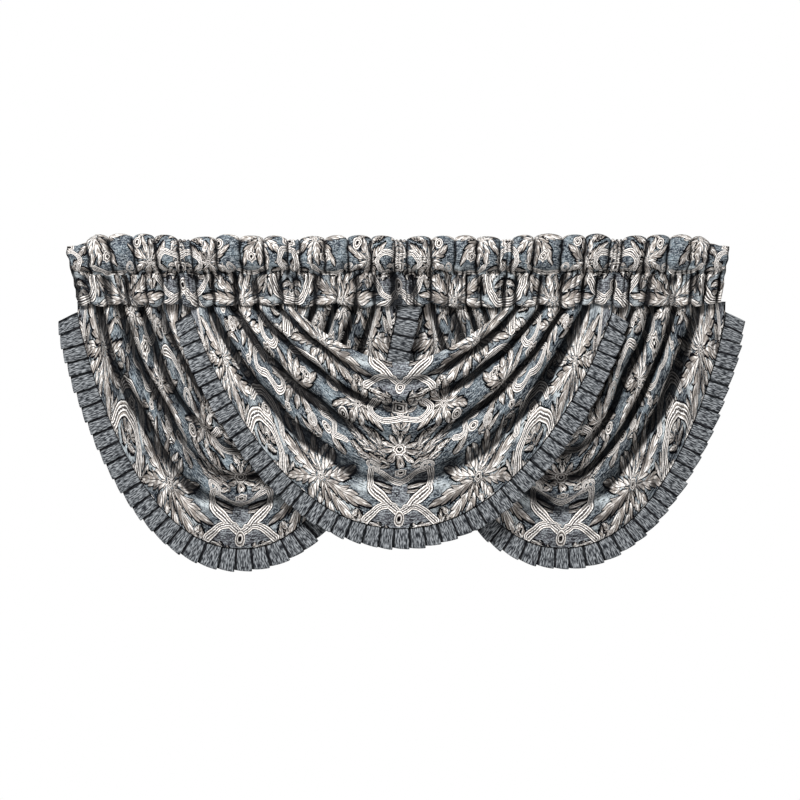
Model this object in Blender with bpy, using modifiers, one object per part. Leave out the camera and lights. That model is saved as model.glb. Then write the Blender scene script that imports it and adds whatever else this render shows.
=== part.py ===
"""A waterfall valance: a gathered rod-pocket header, three overlapping draped swags, and a pleated ruffle on
each swag's curved hem.

Metres, +Z up, +X to the right as a viewer sees it, and the viewer stands on the -Y side. The origin is the
middle of the header's top edge, above the rod's axis.

Every piece is one sheet of cloth: a grid whose vertices are laid along the folds, given its thickness by
Solidify. "Forward" is the distance towards the viewer from the plane where the side swags hang, which is
behind the rod's axis.
"""

import math
from typing import NamedTuple

import bmesh
import bpy
import numpy as np

# Driving sizes
CLOTH = 0.002
ROD_FORWARD = 0.018
SEAM_Z = -0.127
SEAM_CLEARANCE = 0.0012
HEM_CLEARANCE = 0.0008
SEAM_NARROWING = 0.035
RUFFLE_PITCH = 0.026
RUFFLE_INNER_STEP = 0.0012
RUFFLE_OUTER_STEP = 0.0030
RUFFLE_LEAN = 0.004
RUFFLE_START_Z = -0.012
PLEAT_FACE = 0.84

# Grid density
SWAG_COLUMNS = 14
STEPS_BETWEEN_LINES = 2
CURVE_SAMPLES = 241

# The share of the way from the swag's middle to its gathered end where the folds are deepest
DEEPEST = 0.70

# Between two fold lines, cloth stays level as far as a ridge's shoulder, reaches the valley at the ridge's
# foot, and is up on the next ridge at the valley's far side
RIDGE_SHOULDER = 0.25
RIDGE_FOOT = 0.95
VALLEY_FAR_SIDE = 0.90


class Puff(NamedTuple):
    """One gather of the rod pocket: its width, how full it is, and how far its top has sunk."""

    width: float
    fullness: float
    sunk: float


class Station(NamedTuple):
    """One point of the header strip's section, at a full gather's crest and in the groove between two."""

    name: str
    crest_forward: float
    crest_z: float
    groove_forward: float
    groove_z: float


class Line(NamedTuple):
    """One fold line of a swag, from gathered end to gathered end.

    left and right are how far from the swag's middle it starts at the seam, drop is how far below the seam
    it hangs at the middle, and bow and square shape the curve between.
    """

    name: str
    left: float
    right: float
    drop: float
    bow: float
    square: float


class Depths(NamedTuple):
    """How far forward a kind of fold line lies, from its left end to its right end."""

    left_end: float
    left: float
    middle: float
    right: float
    right_end: float


# The header's gathers from left to right: fours of full gathers, with a pinched one between the fours.
TAB = Puff(0.036, 0.20, 0.017)
PINCH = Puff(0.021, 0.30, 0.007)
PUFFS = (
    TAB,
    Puff(0.041, 0.95, 0.001),
    Puff(0.043, 1.00, 0.000),
    Puff(0.039, 0.95, 0.000),
    Puff(0.042, 1.00, 0.002),
    PINCH,
    Puff(0.046, 0.90, 0.005),
    Puff(0.043, 1.00, 0.001),
    Puff(0.042, 0.90, 0.003),
    Puff(0.043, 0.95, 0.003),
    PINCH,
    Puff(0.045, 0.95, 0.004),
    Puff(0.042, 1.00, 0.003),
    Puff(0.041, 0.90, 0.002),
    Puff(0.043, 0.95, 0.003),
    PINCH,
    Puff(0.044, 0.95, 0.004),
    Puff(0.043, 0.90, 0.003),
    Puff(0.038, 1.00, 0.003),
    Puff(0.042, 0.90, 0.004),
    PINCH,
    Puff(0.040, 0.95, 0.002),
    Puff(0.050, 1.00, 0.000),
    Puff(0.041, 0.90, 0.001),
    Puff(0.045, 1.00, 0.000),
    PINCH,
    Puff(0.043, 0.95, 0.003),
    Puff(0.041, 1.00, 0.002),
    Puff(0.040, 0.95, 0.001),
    Puff(0.033, 0.90, 0.004),
    TAB,
)

# The header strip's section, from its back hem up over the rod and down to its front hem.
HEADER_SECTION = (
    Station("back hem", 0.0020, SEAM_Z, 0.0060, SEAM_Z),
    Station("back stitch line", 0.0075, -0.067, 0.0055, -0.067),
    Station("pocket back", -0.0100, -0.036, -0.0040, -0.036),
    Station("pocket back top", -0.0030, -0.006, 0.0020, -0.013),
    Station("pocket top", 0.0180, 0.000, 0.0170, -0.008),
    Station("pocket front top", 0.0360, -0.008, 0.0310, -0.014),
    Station("pocket front", 0.0430, -0.034, 0.0340, -0.034),
    Station("pocket front low", 0.0360, -0.055, 0.0280, -0.056),
    Station("front stitch line", 0.0115, -0.067, 0.0095, -0.067),
    Station("band front", 0.0240, -0.095, 0.0160, -0.095),
    Station("front hem", 0.0200, SEAM_Z, 0.0130, SEAM_Z),
)

# Gathers sink at the top only, and not below this height
SINK_ABOVE_Z = -0.050

# Where the columns stand across a gather, as shares of its width
WIDE_CRESTS = (0.28, 0.72)
NARROW_CRESTS = (0.5,)

# The middle swag's fold lines, from the open lip at its top to its hem.
MIDDLE_LINES = (
    Line("lip", 0.195, 0.190, 0.101, 1.75, 1.00),
    Line("ridge 5", 0.205, 0.199, 0.119, 1.75, 1.00),
    Line("valley 4", 0.221, 0.214, 0.138, 1.80, 1.00),
    Line("ridge 4", 0.243, 0.236, 0.158, 1.80, 1.00),
    Line("valley 3", 0.262, 0.258, 0.182, 1.85, 1.00),
    Line("ridge 3", 0.280, 0.278, 0.212, 1.85, 1.00),
    Line("valley 2", 0.301, 0.297, 0.241, 1.90, 1.00),
    Line("ridge 2", 0.324, 0.315, 0.274, 1.90, 1.00),
    Line("valley 1", 0.342, 0.335, 0.304, 2.00, 1.02),
    Line("panel", 0.359, 0.358, 0.352, 2.05, 1.08),
    Line("hem", 0.375, 0.380, 0.395, 2.10, 1.15),
)
MIDDLE_DEPTHS = {
    "lip": Depths(0.016, 0.040, 0.052, 0.040, 0.016),
    "ridge": Depths(0.022, 0.060, 0.066, 0.060, 0.022),
    "valley": Depths(0.015, 0.037, 0.053, 0.037, 0.015),
    "panel": Depths(0.022, 0.047, 0.049, 0.047, 0.022),
    "hem": Depths(0.020, 0.037, 0.040, 0.037, 0.020),
}

# The left swag's fold lines. Its right half shows through the middle swag's open lip.
LEFT_LINES = (
    Line("lip", 0.085, 0.080, 0.150, 1.90, 1.00),
    Line("ridge 5", 0.132, 0.115, 0.177, 1.90, 1.00),
    Line("valley 4", 0.147, 0.133, 0.204, 1.95, 1.00),
    Line("ridge 4", 0.163, 0.151, 0.239, 1.95, 1.00),
    Line("valley 3", 0.181, 0.169, 0.260, 2.00, 1.02),
    Line("ridge 3", 0.198, 0.186, 0.289, 2.00, 1.04),
    Line("valley 2", 0.217, 0.205, 0.313, 2.00, 1.06),
    Line("ridge 2", 0.235, 0.222, 0.338, 2.00, 1.08),
    Line("valley 1", 0.256, 0.238, 0.361, 2.10, 1.12),
    Line("panel", 0.273, 0.251, 0.400, 2.15, 1.18),
    Line("hem", 0.293, 0.278, 0.432, 2.20, 1.25),
)
LEFT_DEPTHS = {
    "tucked ridge": Depths(0.006, 0.014, 0.028, 0.026, 0.014),
    "tucked valley": Depths(0.002, 0.004, 0.014, 0.008, 0.008),
    "lip": Depths(0.003, 0.004, 0.016, 0.010, 0.005),
    "ridge": Depths(0.019, 0.030, 0.030, 0.029, 0.019),
    "valley": Depths(0.012, 0.005, 0.013, 0.007, 0.012),
    "panel": Depths(0.017, 0.019, 0.017, 0.016, 0.014),
    "hem": Depths(0.013, 0.010, 0.012, 0.012, 0.012),
}

# The right swag's fold lines. Its left half shows through the middle swag's open lip, and its left hem lies
# behind the left swag's.
RIGHT_LINES = (
    Line("lip", 0.095, 0.080, 0.150, 1.90, 1.00),
    Line("ridge 5", 0.129, 0.115, 0.175, 1.90, 1.00),
    Line("valley 4", 0.142, 0.130, 0.200, 1.95, 1.00),
    Line("ridge 4", 0.154, 0.145, 0.232, 1.95, 1.00),
    Line("valley 3", 0.167, 0.166, 0.256, 2.00, 1.02),
    Line("ridge 3", 0.179, 0.186, 0.283, 2.00, 1.04),
    Line("valley 2", 0.199, 0.204, 0.306, 2.00, 1.06),
    Line("ridge 2", 0.218, 0.221, 0.330, 2.00, 1.08),
    Line("valley 1", 0.232, 0.245, 0.354, 2.10, 1.12),
    Line("panel", 0.244, 0.272, 0.397, 2.15, 1.21),
    Line("hem", 0.280, 0.293, 0.431, 2.20, 1.31),
)
RIGHT_DEPTHS = {
    "tucked ridge": Depths(0.014, 0.026, 0.028, 0.014, 0.006),
    "tucked valley": Depths(0.008, 0.008, 0.014, 0.004, 0.002),
    "lip": Depths(0.005, 0.010, 0.016, 0.004, 0.003),
    "ridge": Depths(0.018, 0.029, 0.030, 0.030, 0.019),
    "valley": Depths(0.003, 0.005, 0.013, 0.005, 0.012),
    "panel": Depths(0.000, 0.008, 0.017, 0.019, 0.017),
    "hem": Depths(-0.003, 0.003, 0.012, 0.010, 0.013),
}

# The fold lines of a side swag that the middle swag's gathered end lies over
TUCKED = ("ridge 5", "valley 4")


class Swag(NamedTuple):
    """One draped swag: its name, where its middle is, its fold lines, how far forward they lie, and how wide
    the ruffle on its hem shows.
    """

    name: str
    middle_x: float
    lines: tuple[Line, ...]
    depths: dict[str, Depths]
    ruffle_width: float


SWAGS = (
    Swag("swag_left", -0.280, LEFT_LINES, LEFT_DEPTHS, 0.040),
    Swag("swag_right", 0.292, RIGHT_LINES, RIGHT_DEPTHS, 0.037),
    Swag("swag_middle", 0.0035, MIDDLE_LINES, MIDDLE_DEPTHS, 0.036),
)


def smooth(value):
    """An S-shaped ramp from 0 to 1."""
    value = np.clip(value, 0.0, 1.0)
    return value * value * (3.0 - 2.0 * value)


def depths_of(swag, line):
    """The row of the swag's depth table that a fold line takes."""
    kind = line.name.split()[0]
    if line.name in TUCKED and "tucked " + kind in swag.depths:
        kind = "tucked " + kind
    return swag.depths[kind]


def blended(first, second, share):
    """Two table rows of numbers, mixed."""
    return np.array(first, float) * (1.0 - share) + np.array(second, float) * share


def hanging_curve(left, right, drop, bow, square, at):
    """(x, z) along a fold line, at shares of its length from -1, the left end, to 1, the right end."""
    turn = np.linspace(-math.pi / 2, math.pi / 2, CURVE_SAMPLES)
    across = np.sin(turn)
    x = np.where(across < 0.0, across * left, across * right)
    z = -drop * np.clip(1.0 - np.abs(across) ** bow, 0.0, 1.0) ** (1.0 / square)
    half = CURVE_SAMPLES // 2
    along = np.concatenate([[0.0], np.cumsum(np.hypot(np.diff(x), np.diff(z)))])
    lower, upper = along[half], along[-1] - along[half]
    share = np.where(turn < 0.0, (along - lower) / lower, (along - lower) / upper)
    return np.interp(at, share, x), np.interp(at, share, z)


def forward_along(depths, at):
    """How far forward a fold line lies, at shares of its length from -1 to 1."""
    knots = (-1.0, -DEEPEST, 0.0, DEEPEST, 1.0)
    found = np.full(len(at), depths[0])
    for i in range(len(knots) - 1):
        ramp = smooth((at - knots[i]) / (knots[i + 1] - knots[i]))
        found += (depths[i + 1] - depths[i]) * ramp
    return found


def fold_wall(line, share):
    """How far the cloth has gone from this line's depth to the next one's."""
    if line.name.startswith("ridge"):
        return smooth((share - RIDGE_SHOULDER) / (RIDGE_FOOT - RIDGE_SHOULDER))
    return smooth(share / VALLEY_FAR_SIDE)


def placed(swag, x, forward, z):
    """Points of a swag, from distances to its middle, towards the viewer and up from the seam."""
    return np.stack([swag.middle_x + x, ROD_FORWARD - forward, SEAM_Z - SEAM_CLEARANCE + z], axis=1)


def swag_rows(swag, at):
    """The swag's rows of points, from its lip to its hem, each an array of one point for each of at."""
    rows = []
    lines = swag.lines
    for above, below in zip(lines[:-1], lines[1:]):
        for step in range(STEPS_BETWEEN_LINES):
            share = step / STEPS_BETWEEN_LINES
            curve = blended(above[1:], below[1:], share)
            x, z = hanging_curve(*curve, at)
            start = forward_along(depths_of(swag, above), at)
            end = forward_along(depths_of(swag, below), at)
            forward = start + (end - start) * fold_wall(above, share)
            rows.append(placed(swag, x, forward, z))
    x, z = hanging_curve(*lines[-1][1:], at)
    rows.append(placed(swag, x, forward_along(depths_of(swag, lines[-1]), at), z))
    return rows


def cloth_object(name, rows, collection, material):
    """A sheet of cloth: a grid laid over rows of points, thickened evenly to both sides."""
    mesh = bpy.data.meshes.new(name)
    shape = bmesh.new()
    down, across = len(rows), len(rows[0])
    bmesh.ops.create_grid(shape, x_segments=across - 1, y_segments=down - 1, size=1.0)
    shape.verts.ensure_lookup_table()
    places = np.concatenate(rows[::-1])
    for vert, place in zip(shape.verts, places):
        vert.co = place
    shape.to_mesh(mesh)
    shape.free()
    mesh.shade_smooth()
    mesh.materials.append(material)
    obj = bpy.data.objects.new(name, mesh)
    collection.objects.link(obj)
    wall = obj.modifiers.new("cloth thickness", "SOLIDIFY")
    wall.thickness = CLOTH
    wall.offset = 0.0
    return obj


def header_columns():
    """The header's columns from left to right, as (x, fullness, how far the top has sunk)."""
    edge = -sum(puff.width for puff in PUFFS) / 2
    columns = [(edge, 0.0, PUFFS[0].sunk)]
    for puff, following in zip(PUFFS, PUFFS[1:] + PUFFS[-1:]):
        for share in WIDE_CRESTS if puff.fullness > PINCH.fullness else NARROW_CRESTS:
            columns.append((edge + puff.width * share, puff.fullness, puff.sunk))
        edge += puff.width
        columns.append((edge, 0.0, (puff.sunk + following.sunk) / 2))
    return columns


def header_rows():
    """The header's rows of points, from its back hem up over the rod and down to its front hem."""
    rows = []
    columns = header_columns()
    for station in HEADER_SECTION:
        row = []
        for x, fullness, sunk in columns:
            forward = station.groove_forward + fullness * (station.crest_forward - station.groove_forward)
            z = station.groove_z + fullness * (station.crest_z - station.groove_z)
            sinking = sunk * max(0.0, 1.0 - z / SINK_ABOVE_Z)
            narrowing = 1.0 - SEAM_NARROWING * z / SEAM_Z
            row.append((x * narrowing, ROD_FORWARD - forward, z - sinking))
        rows.append(np.array(row))
    return rows


def hem_outwards(hem):
    """Unit vectors away from the swag at each hem point, in the XZ plane."""
    along = np.gradient(hem, axis=0)
    away = np.stack([along[:, 2], np.zeros(len(hem)), -along[:, 0]], axis=1)
    return away / np.linalg.norm(away, axis=1)[:, None]


def below_seam(hem):
    """The hem without its two ends, which are above the ruffle's ends."""
    start_z = SEAM_Z + RUFFLE_START_Z
    hem = hem.copy()
    for end, inner in ((0, 1), (-1, -2)):
        share = (start_z - hem[end, 2]) / (hem[inner, 2] - hem[end, 2])
        hem[end] += (hem[inner] - hem[end]) * share
    return hem


def ruffle_rows(hem, width):
    """The ruffle's two rows of points: knife pleats that overlap like shingles along the hem.

    A whole number of pleats fits each straight stretch of the hem, so the ruffle's top edge follows it.
    """
    outwards = hem_outwards(hem)
    towards_viewer = np.array([0.0, -1.0, 0.0])
    inner, outer = [], []
    for i in range(len(hem) - 1):
        count = max(1, round(np.linalg.norm(hem[i + 1] - hem[i]) / RUFFLE_PITCH))
        for number in range(count):
            for share, side in ((0.0, -1.0), (PLEAT_FACE, 1.0)):
                at = (number + share) / count
                base = hem[i] + (hem[i + 1] - hem[i]) * at
                away = outwards[i] + (outwards[i + 1] - outwards[i]) * at
                away /= np.linalg.norm(away)
                inner_rise = side * RUFFLE_INNER_STEP / 2
                outer_rise = side * RUFFLE_OUTER_STEP / 2 + RUFFLE_LEAN
                inner.append(base + away * HEM_CLEARANCE + towards_viewer * inner_rise)
                outer.append(base + away * width + towards_viewer * outer_rise)
    return [np.array(inner), np.array(outer)]


def cloth_material(name, colour, roughness):
    """A plain dielectric cloth colour."""
    material = bpy.data.materials.new(name)
    material.use_nodes = True
    shader = material.node_tree.nodes["Principled BSDF"]
    shader.inputs["Base Color"].default_value = (*colour, 1.0)
    shader.inputs["Roughness"].default_value = roughness
    shader.inputs["Metallic"].default_value = 0.0
    return material


def main():
    """Builds the header, the swags and their ruffles."""
    for obj in list(bpy.data.objects):
        bpy.data.objects.remove(obj, do_unlink=True)
    valance = bpy.data.collections.new("waterfall_valance")
    bpy.context.scene.collection.children.link(valance)
    jacquard = cloth_material("woven_jacquard", (0.30, 0.33, 0.36), 0.85)
    chenille = cloth_material("grey_chenille", (0.16, 0.17, 0.19), 0.95)

    cloth_object("header", header_rows(), valance, jacquard)
    at = np.linspace(-1.0, 1.0, SWAG_COLUMNS + 1)
    for swag in SWAGS:
        rows = swag_rows(swag, at)
        cloth_object(swag.name, rows, valance, jacquard)
        ruffle = ruffle_rows(below_seam(rows[-1]), swag.ruffle_width)
        cloth_object(swag.name.replace("swag", "ruffle"), ruffle, valance, chenille)


main()
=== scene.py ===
"""A waterfall valance as sewn cloth: a gathered rod-pocket header, three draped swags, and a pleated ruffle
on each swag's hem.

Metres, +Z up, +X to the right as a viewer sees it, and the viewer stands on the -Y side. "Forward" is the
distance towards the viewer from the plane where the side swags hang.
"""

import logging
import math
from collections.abc import Callable
from dataclasses import astuple, dataclass, field
from enum import Enum

import bpy
import numpy as np
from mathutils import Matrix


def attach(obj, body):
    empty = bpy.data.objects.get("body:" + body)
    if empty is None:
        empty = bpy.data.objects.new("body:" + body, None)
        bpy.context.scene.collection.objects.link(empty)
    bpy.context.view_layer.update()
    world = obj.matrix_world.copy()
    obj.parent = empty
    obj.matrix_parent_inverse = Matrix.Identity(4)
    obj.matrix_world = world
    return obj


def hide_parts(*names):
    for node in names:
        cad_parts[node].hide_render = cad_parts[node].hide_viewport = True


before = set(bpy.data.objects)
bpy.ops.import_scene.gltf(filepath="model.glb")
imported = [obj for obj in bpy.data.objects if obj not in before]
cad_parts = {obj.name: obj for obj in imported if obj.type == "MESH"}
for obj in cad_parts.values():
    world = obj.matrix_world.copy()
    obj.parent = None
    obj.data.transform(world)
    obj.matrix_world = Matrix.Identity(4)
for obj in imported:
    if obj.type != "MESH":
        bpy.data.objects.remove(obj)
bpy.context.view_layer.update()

LOG = logging.getLogger("valance")

ROD_FORWARD = 0.018
SEAM_Z = -0.127
CLOTH_THICKNESS = 0.0013

Grid = np.ndarray


def smooth(value: Grid) -> Grid:
    """An S-shaped ramp from 0 to 1."""
    value = np.clip(value, 0.0, 1.0)
    return value * value * (3.0 - 2.0 * value)


def ripple(u: Grid, v: Grid, along: float, across: float, seed: int, waves: int = 9) -> Grid:
    """Smooth uneven waves over a cloth.

    Args:
        u: Where each point is along the cloth.
        v: Where each point is across it.
        along: The waves' rough length along u.
        across: The waves' rough length along v.
        seed: Picks one set of waves.
        waves: How many waves are added up.

    Returns:
        One value for each point, mostly between -1 and 1.
    """
    draw = np.random.default_rng(seed)
    total = 0.0
    for _ in range(waves):
        turn_u, turn_v = draw.normal(0.0, 1.0, 2)
        start = draw.uniform(0.0, 2.0 * math.pi)
        total = total + np.sin(2.0 * math.pi * (turn_u * u / along + turn_v * v / across) + start)
    return total * math.sqrt(2.0 / waves) * 0.6


@dataclass
class Leaf:
    """One woven leaf: where it starts, its turn, length, half width, bend and lobes, and how dark it is."""

    u: float
    v: float
    turn: float
    length: float
    width: float
    bend: float = 0.0
    lobes: int = 4
    tone: float = 0.5


@dataclass
class Frond:
    """A stem with pairs of leaves and one at its tip.

    The fields after lobes are shares: where the first pair is, how far up the leaves are fullest, how much
    they shrink from there and vary, how far they bend back, and where the leaf at the tip starts.
    """

    u: float
    v: float
    turn: float
    length: float
    bend: float
    pairs: int
    leaf_length: float
    leaf_width: float
    open_turn: float = 62.0
    close_turn: float = 20.0
    lobes: int = 3
    first_pair: float = 0.3
    fullest: float = 0.35
    shrink: float = 0.30
    vary: float = 0.12
    bend_back: float = 0.55
    tip: float = 0.72

    def leaves(self) -> list[Leaf]:
        """The frond's leaves, the last of which lies on top."""
        found = []
        for i in range(self.pairs):
            share = (i + self.first_pair) / self.pairs
            reach = share * self.length
            turn = math.radians(self.turn) + self.bend * share
            middle_turn = math.radians(self.turn) + self.bend * share / 2.0
            u = self.u + reach * math.cos(middle_turn)
            v = self.v + reach * math.sin(middle_turn)
            spread = math.radians(self.open_turn + (self.close_turn - self.open_turn) * share)
            size = 1.0 - self.shrink * abs(share - self.fullest) / (1.0 - self.fullest)
            for side in (-1.0, 1.0):
                found.append(
                    Leaf(
                        u,
                        v,
                        math.degrees(turn + side * spread),
                        self.leaf_length * size * (1.0 + self.vary * math.sin(7.0 * i + side)),
                        self.leaf_width * size,
                        -side * self.bend_back,
                        self.lobes,
                        0.3 + 0.1 * ((3 * i + int(side)) % 5),
                    )
                )
        tip_turn = math.radians(self.turn) + self.bend * 0.9
        bend = self.bend * 0.4
        u = self.u + self.tip * self.length * math.cos(math.radians(self.turn) + bend)
        v = self.v + self.tip * self.length * math.sin(math.radians(self.turn) + bend)
        length, width = self.leaf_length * 1.05, self.leaf_width * 1.1
        found.append(Leaf(u, v, math.degrees(tip_turn), length, width, bend, 4, 0.35))
        return found


@dataclass
class Strap:
    """A woven strap of stripes along a curve, given by a few of its points and its two half widths."""

    points: tuple[tuple[float, float], ...]
    width: float
    end_width: float


@dataclass
class Medallion:
    """A woven rosette, drop or eye: its centre, its two radii, its petals and how far they stand out."""

    u: float
    v: float
    wide: float
    tall: float
    petals: int = 0
    petal_depth: float = 0.0


HALF_WIDTH = 0.285
REPEAT = 0.262

# How a leaf's outline swells from its foot and narrows to its tip, and how far past its edge a face is in it
LEAF_BASE = 0.70
LEAF_SIDE = 0.75
LEAF_RIM = 0.0015

# A spray's leaf: where its foot is and how long it is, as shares of its ray, and how its width grows with it
SPRAY_FOOT = 0.10
SPRAY_LENGTH = 0.92
SPRAY_WIDTH = 0.86
SPRAY_WIDENING = 3.6
# Leaves over the first length have five lobes, over the second four, and the others three
FIVE_LOBES_OVER = 0.08
FOUR_LOBES_OVER = 0.055


Ray = tuple[float, float, float]


def spray(u: float, v: float, rays: tuple[Ray, ...], width: float) -> tuple[Leaf, ...]:
    """Large lobed leaves that spread from one point.

    Args:
        u: The point's place along the cloth.
        v: The point's place up the cloth.
        rays: Each leaf's turn, length and bend, the first lowest.
        width: The leaves' half width.

    Returns:
        The leaves.
    """
    leaves = []
    for number, (turn, length, bend) in enumerate(rays):
        away = SPRAY_FOOT * length
        leaves.append(
            Leaf(
                u + away * math.cos(math.radians(turn)),
                v + away * math.sin(math.radians(turn)),
                turn,
                length * SPRAY_LENGTH,
                width * (SPRAY_WIDTH + SPRAY_WIDENING * length),
                bend,
                5 if length > FIVE_LOBES_OVER else 4 if length > FOUR_LOBES_OVER else 3,
                0.25 + 0.16 * (number % 4),
            )
        )
    return tuple(leaves)


def curl(u: float, v: float, radius: float, start: float, turns: float) -> tuple[tuple[float, float], ...]:
    """A scroll's points, from its outside in to its eye."""
    points = []
    count = max(4, round(abs(turns) * 9))
    for i in range(count + 1):
        share = i / count
        reach = radius * (1.0 - 0.78 * share)
        turn = math.radians(start) + 2.0 * math.pi * turns * share
        points.append((u + reach * math.cos(turn), v + reach * math.sin(turn)))
    return tuple(points)


SPRAYS = (
    spray(
        0.152,
        0.046,
        (
            (266.0, 0.048, 0.3),
            (306.0, 0.056, -0.5),
            (232.0, 0.068, 0.5),
            (336.0, 0.086, -0.4),
            (32.0, 0.084, 0.6),
            (208.0, 0.090, 0.4),
            (4.0, 0.102, 0.35),
            (62.0, 0.070, 0.6),
            (94.0, 0.064, 0.4),
            (126.0, 0.066, -0.5),
            (156.0, 0.084, -0.4),
            (182.0, 0.102, 0.15),
        ),
        0.0120,
    ),
    spray(
        0.214,
        0.176,
        (
            (256.0, 0.050, 0.4),
            (304.0, 0.058, -0.5),
            (218.0, 0.072, 0.5),
            (342.0, 0.066, -0.4),
            (22.0, 0.062, 0.5),
            (182.0, 0.084, 0.2),
            (62.0, 0.058, 0.5),
            (144.0, 0.072, -0.5),
            (102.0, 0.056, -0.3),
        ),
        0.0106,
    ),
    spray(
        0.078,
        0.222,
        (
            (250.0, 0.042, 0.4),
            (204.0, 0.058, 0.5),
            (296.0, 0.046, -0.4),
            (342.0, 0.058, -0.5),
            (162.0, 0.050, -0.4),
            (22.0, 0.056, 0.5),
            (122.0, 0.048, -0.4),
            (72.0, 0.048, 0.4),
        ),
        0.0094,
    ),
)
ROSETTE = tuple(
    Leaf(
        0.010 * math.cos(math.radians(turn)),
        0.148 + 0.010 * math.sin(math.radians(turn)),
        turn,
        0.026,
        0.0066,
        0.3,
        2,
        0.3 + 0.2 * (number % 2),
    )
    for number, turn in enumerate((90.0, 54.0, 18.0, 342.0, 306.0, 270.0))
)
FRONDS = (
    Frond(0.022, 0.128, 24.0, 0.094, 0.25, 6, 0.040, 0.0060, 30.0, 8.0, 2),
    Frond(0.020, 0.140, 50.0, 0.060, -0.20, 4, 0.036, 0.0060, 32.0, 10.0, 2),
    Frond(0.014, 0.116, 2.0, 0.066, 0.45, 4, 0.030, 0.0056, 34.0, 10.0, 2),
    Frond(0.000, 0.176, 90.0, 0.040, 0.00, 3, 0.030, 0.0070, 56.0, 20.0),
    Frond(0.262, 0.104, 206.0, 0.060, -0.60, 3, 0.026, 0.0060),
    Frond(0.285, 0.226, 150.0, 0.054, -0.50, 3, 0.030, 0.0068),
    Frond(0.285, 0.008, 118.0, 0.046, -0.40, 3, 0.028, 0.0064),
    Frond(0.010, 0.226, 62.0, 0.040, -0.40, 3, 0.026, 0.0060),
)
SINGLE_LEAVES = (
    Leaf(0.066, 0.000, 30.0, 0.030, 0.0070, 0.30, 3, 0.3),
    Leaf(0.072, 0.000, 74.0, 0.026, 0.0070, 0.20, 3, 0.5),
    Leaf(0.090, 0.000, 124.0, 0.028, 0.0070, -0.30, 3, 0.4),
    Leaf(0.060, 0.003, 184.0, 0.046, 0.0046, 0.30, 3, 0.3),
    Leaf(0.222, 0.002, 64.0, 0.036, 0.0076, 0.40, 3, 0.4),
    Leaf(0.222, 0.002, 118.0, 0.032, 0.0076, -0.40, 3, 0.6),
    Leaf(0.014, 0.074, 356.0, 0.034, 0.0040, 0.50, 2, 0.4),
    Leaf(0.014, 0.066, 350.0, 0.028, 0.0036, 0.50, 2, 0.6),
    Leaf(0.098, 0.112, 20.0, 0.044, 0.0070, 0.60, 3, 0.3),
    Leaf(0.150, 0.120, 340.0, 0.046, 0.0074, 0.80, 4, 0.4),
    Leaf(0.150, 0.120, 12.0, 0.040, 0.0066, 0.80, 3, 0.6),
)
STRAPS = (
    Strap(((0.000, 0.026), (0.014, 0.038), (0.030, 0.052), (0.050, 0.066)), 0.0068, 0.0115),
    Strap(((0.010, 0.040), (0.024, 0.040), (0.042, 0.030), (0.062, 0.006)), 0.0064, 0.0080),
    Strap(((0.052, 0.070), (0.055, 0.084), (0.054, 0.100)), 0.0070, 0.0070),
    Strap(((0.050, 0.104), (0.034, 0.100), (0.016, 0.088), (0.000, 0.080)), 0.0056, 0.0056),
    Strap(curl(0.052, 0.108, 0.0120, 200.0, -1.1), 0.0036, 0.0030),
    Strap(((0.285, 0.052), (0.262, 0.046), (0.244, 0.028), (0.236, 0.002)), 0.0105, 0.0105),
    Strap(((0.285, 0.094), (0.266, 0.090), (0.250, 0.078), (0.242, 0.062)), 0.0095, 0.0085),
    Strap(((0.100, 0.138), (0.124, 0.138), (0.126, 0.162), (0.150, 0.160)), 0.0064, 0.0064),
    Strap(curl(0.176, 0.132, 0.0125, 40.0, 1.3), 0.0034, 0.0030),
    Strap(((0.285, 0.130), (0.258, 0.126), (0.244, 0.142), (0.256, 0.160), (0.272, 0.156)), 0.0076, 0.0060),
    Strap(((0.000, 0.214), (0.022, 0.206), (0.044, 0.210), (0.056, 0.226), (0.046, 0.242)), 0.0072, 0.0060),
    Strap(curl(0.128, 0.236, 0.0150, 180.0, -1.2), 0.0044, 0.0034),
    Strap(((0.150, 0.250), (0.176, 0.256), (0.204, 0.250), (0.224, 0.236)), 0.0080, 0.0080),
    Strap(((0.285, 0.196), (0.270, 0.202), (0.262, 0.220), (0.270, 0.240)), 0.0070, 0.0070),
)
MEDALLIONS = (
    Medallion(0.000, 0.018, 0.0095, 0.0145),
    Medallion(0.000, 0.148, 0.0130, 0.0125, 8, 0.12),
    Medallion(0.000, 0.100, 0.0115, 0.0100, 6, 0.12),
    Medallion(0.152, 0.046, 0.0080, 0.0070, 5, 0.16),
    Medallion(0.214, 0.176, 0.0075, 0.0070, 5, 0.16),
    Medallion(0.078, 0.222, 0.0070, 0.0065, 5, 0.16),
    Medallion(0.285, 0.176, 0.0160, 0.0190, 6, 0.20),
    Medallion(0.285, 0.070, 0.0120, 0.0110, 7, 0.18),
    Medallion(0.000, 0.236, 0.0140, 0.0160, 5, 0.16),
    Medallion(0.142, 0.138, 0.0110, 0.0110),
    Medallion(0.190, 0.214, 0.0120, 0.0110, 6, 0.18),
    Medallion(0.106, 0.188, 0.0110, 0.0120),
    Medallion(0.232, 0.118, 0.0080, 0.0080, 5, 0.18),
)


# How a row of the leaf and strap tables is filled: place, direction, length and half width, and for a leaf
# its bend, its lobes and tone as one number, and its number in the list
U, V, RUN_U, RUN_V, LENGTH, WIDTH, BEND, KIND, NUMBER = range(9)
# A medallion's row goes on after its place with two radii, its petals and how far they stand out
WIDE, TALL, PETALS, PETAL_DEPTH = range(2, 6)

# What a face gets that no motif reaches: a distance in centimetres, and one in half widths or radii
NO_LEAF = 9.0
NO_BAND = 3.0
CENTIMETRES = 100.0


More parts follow.
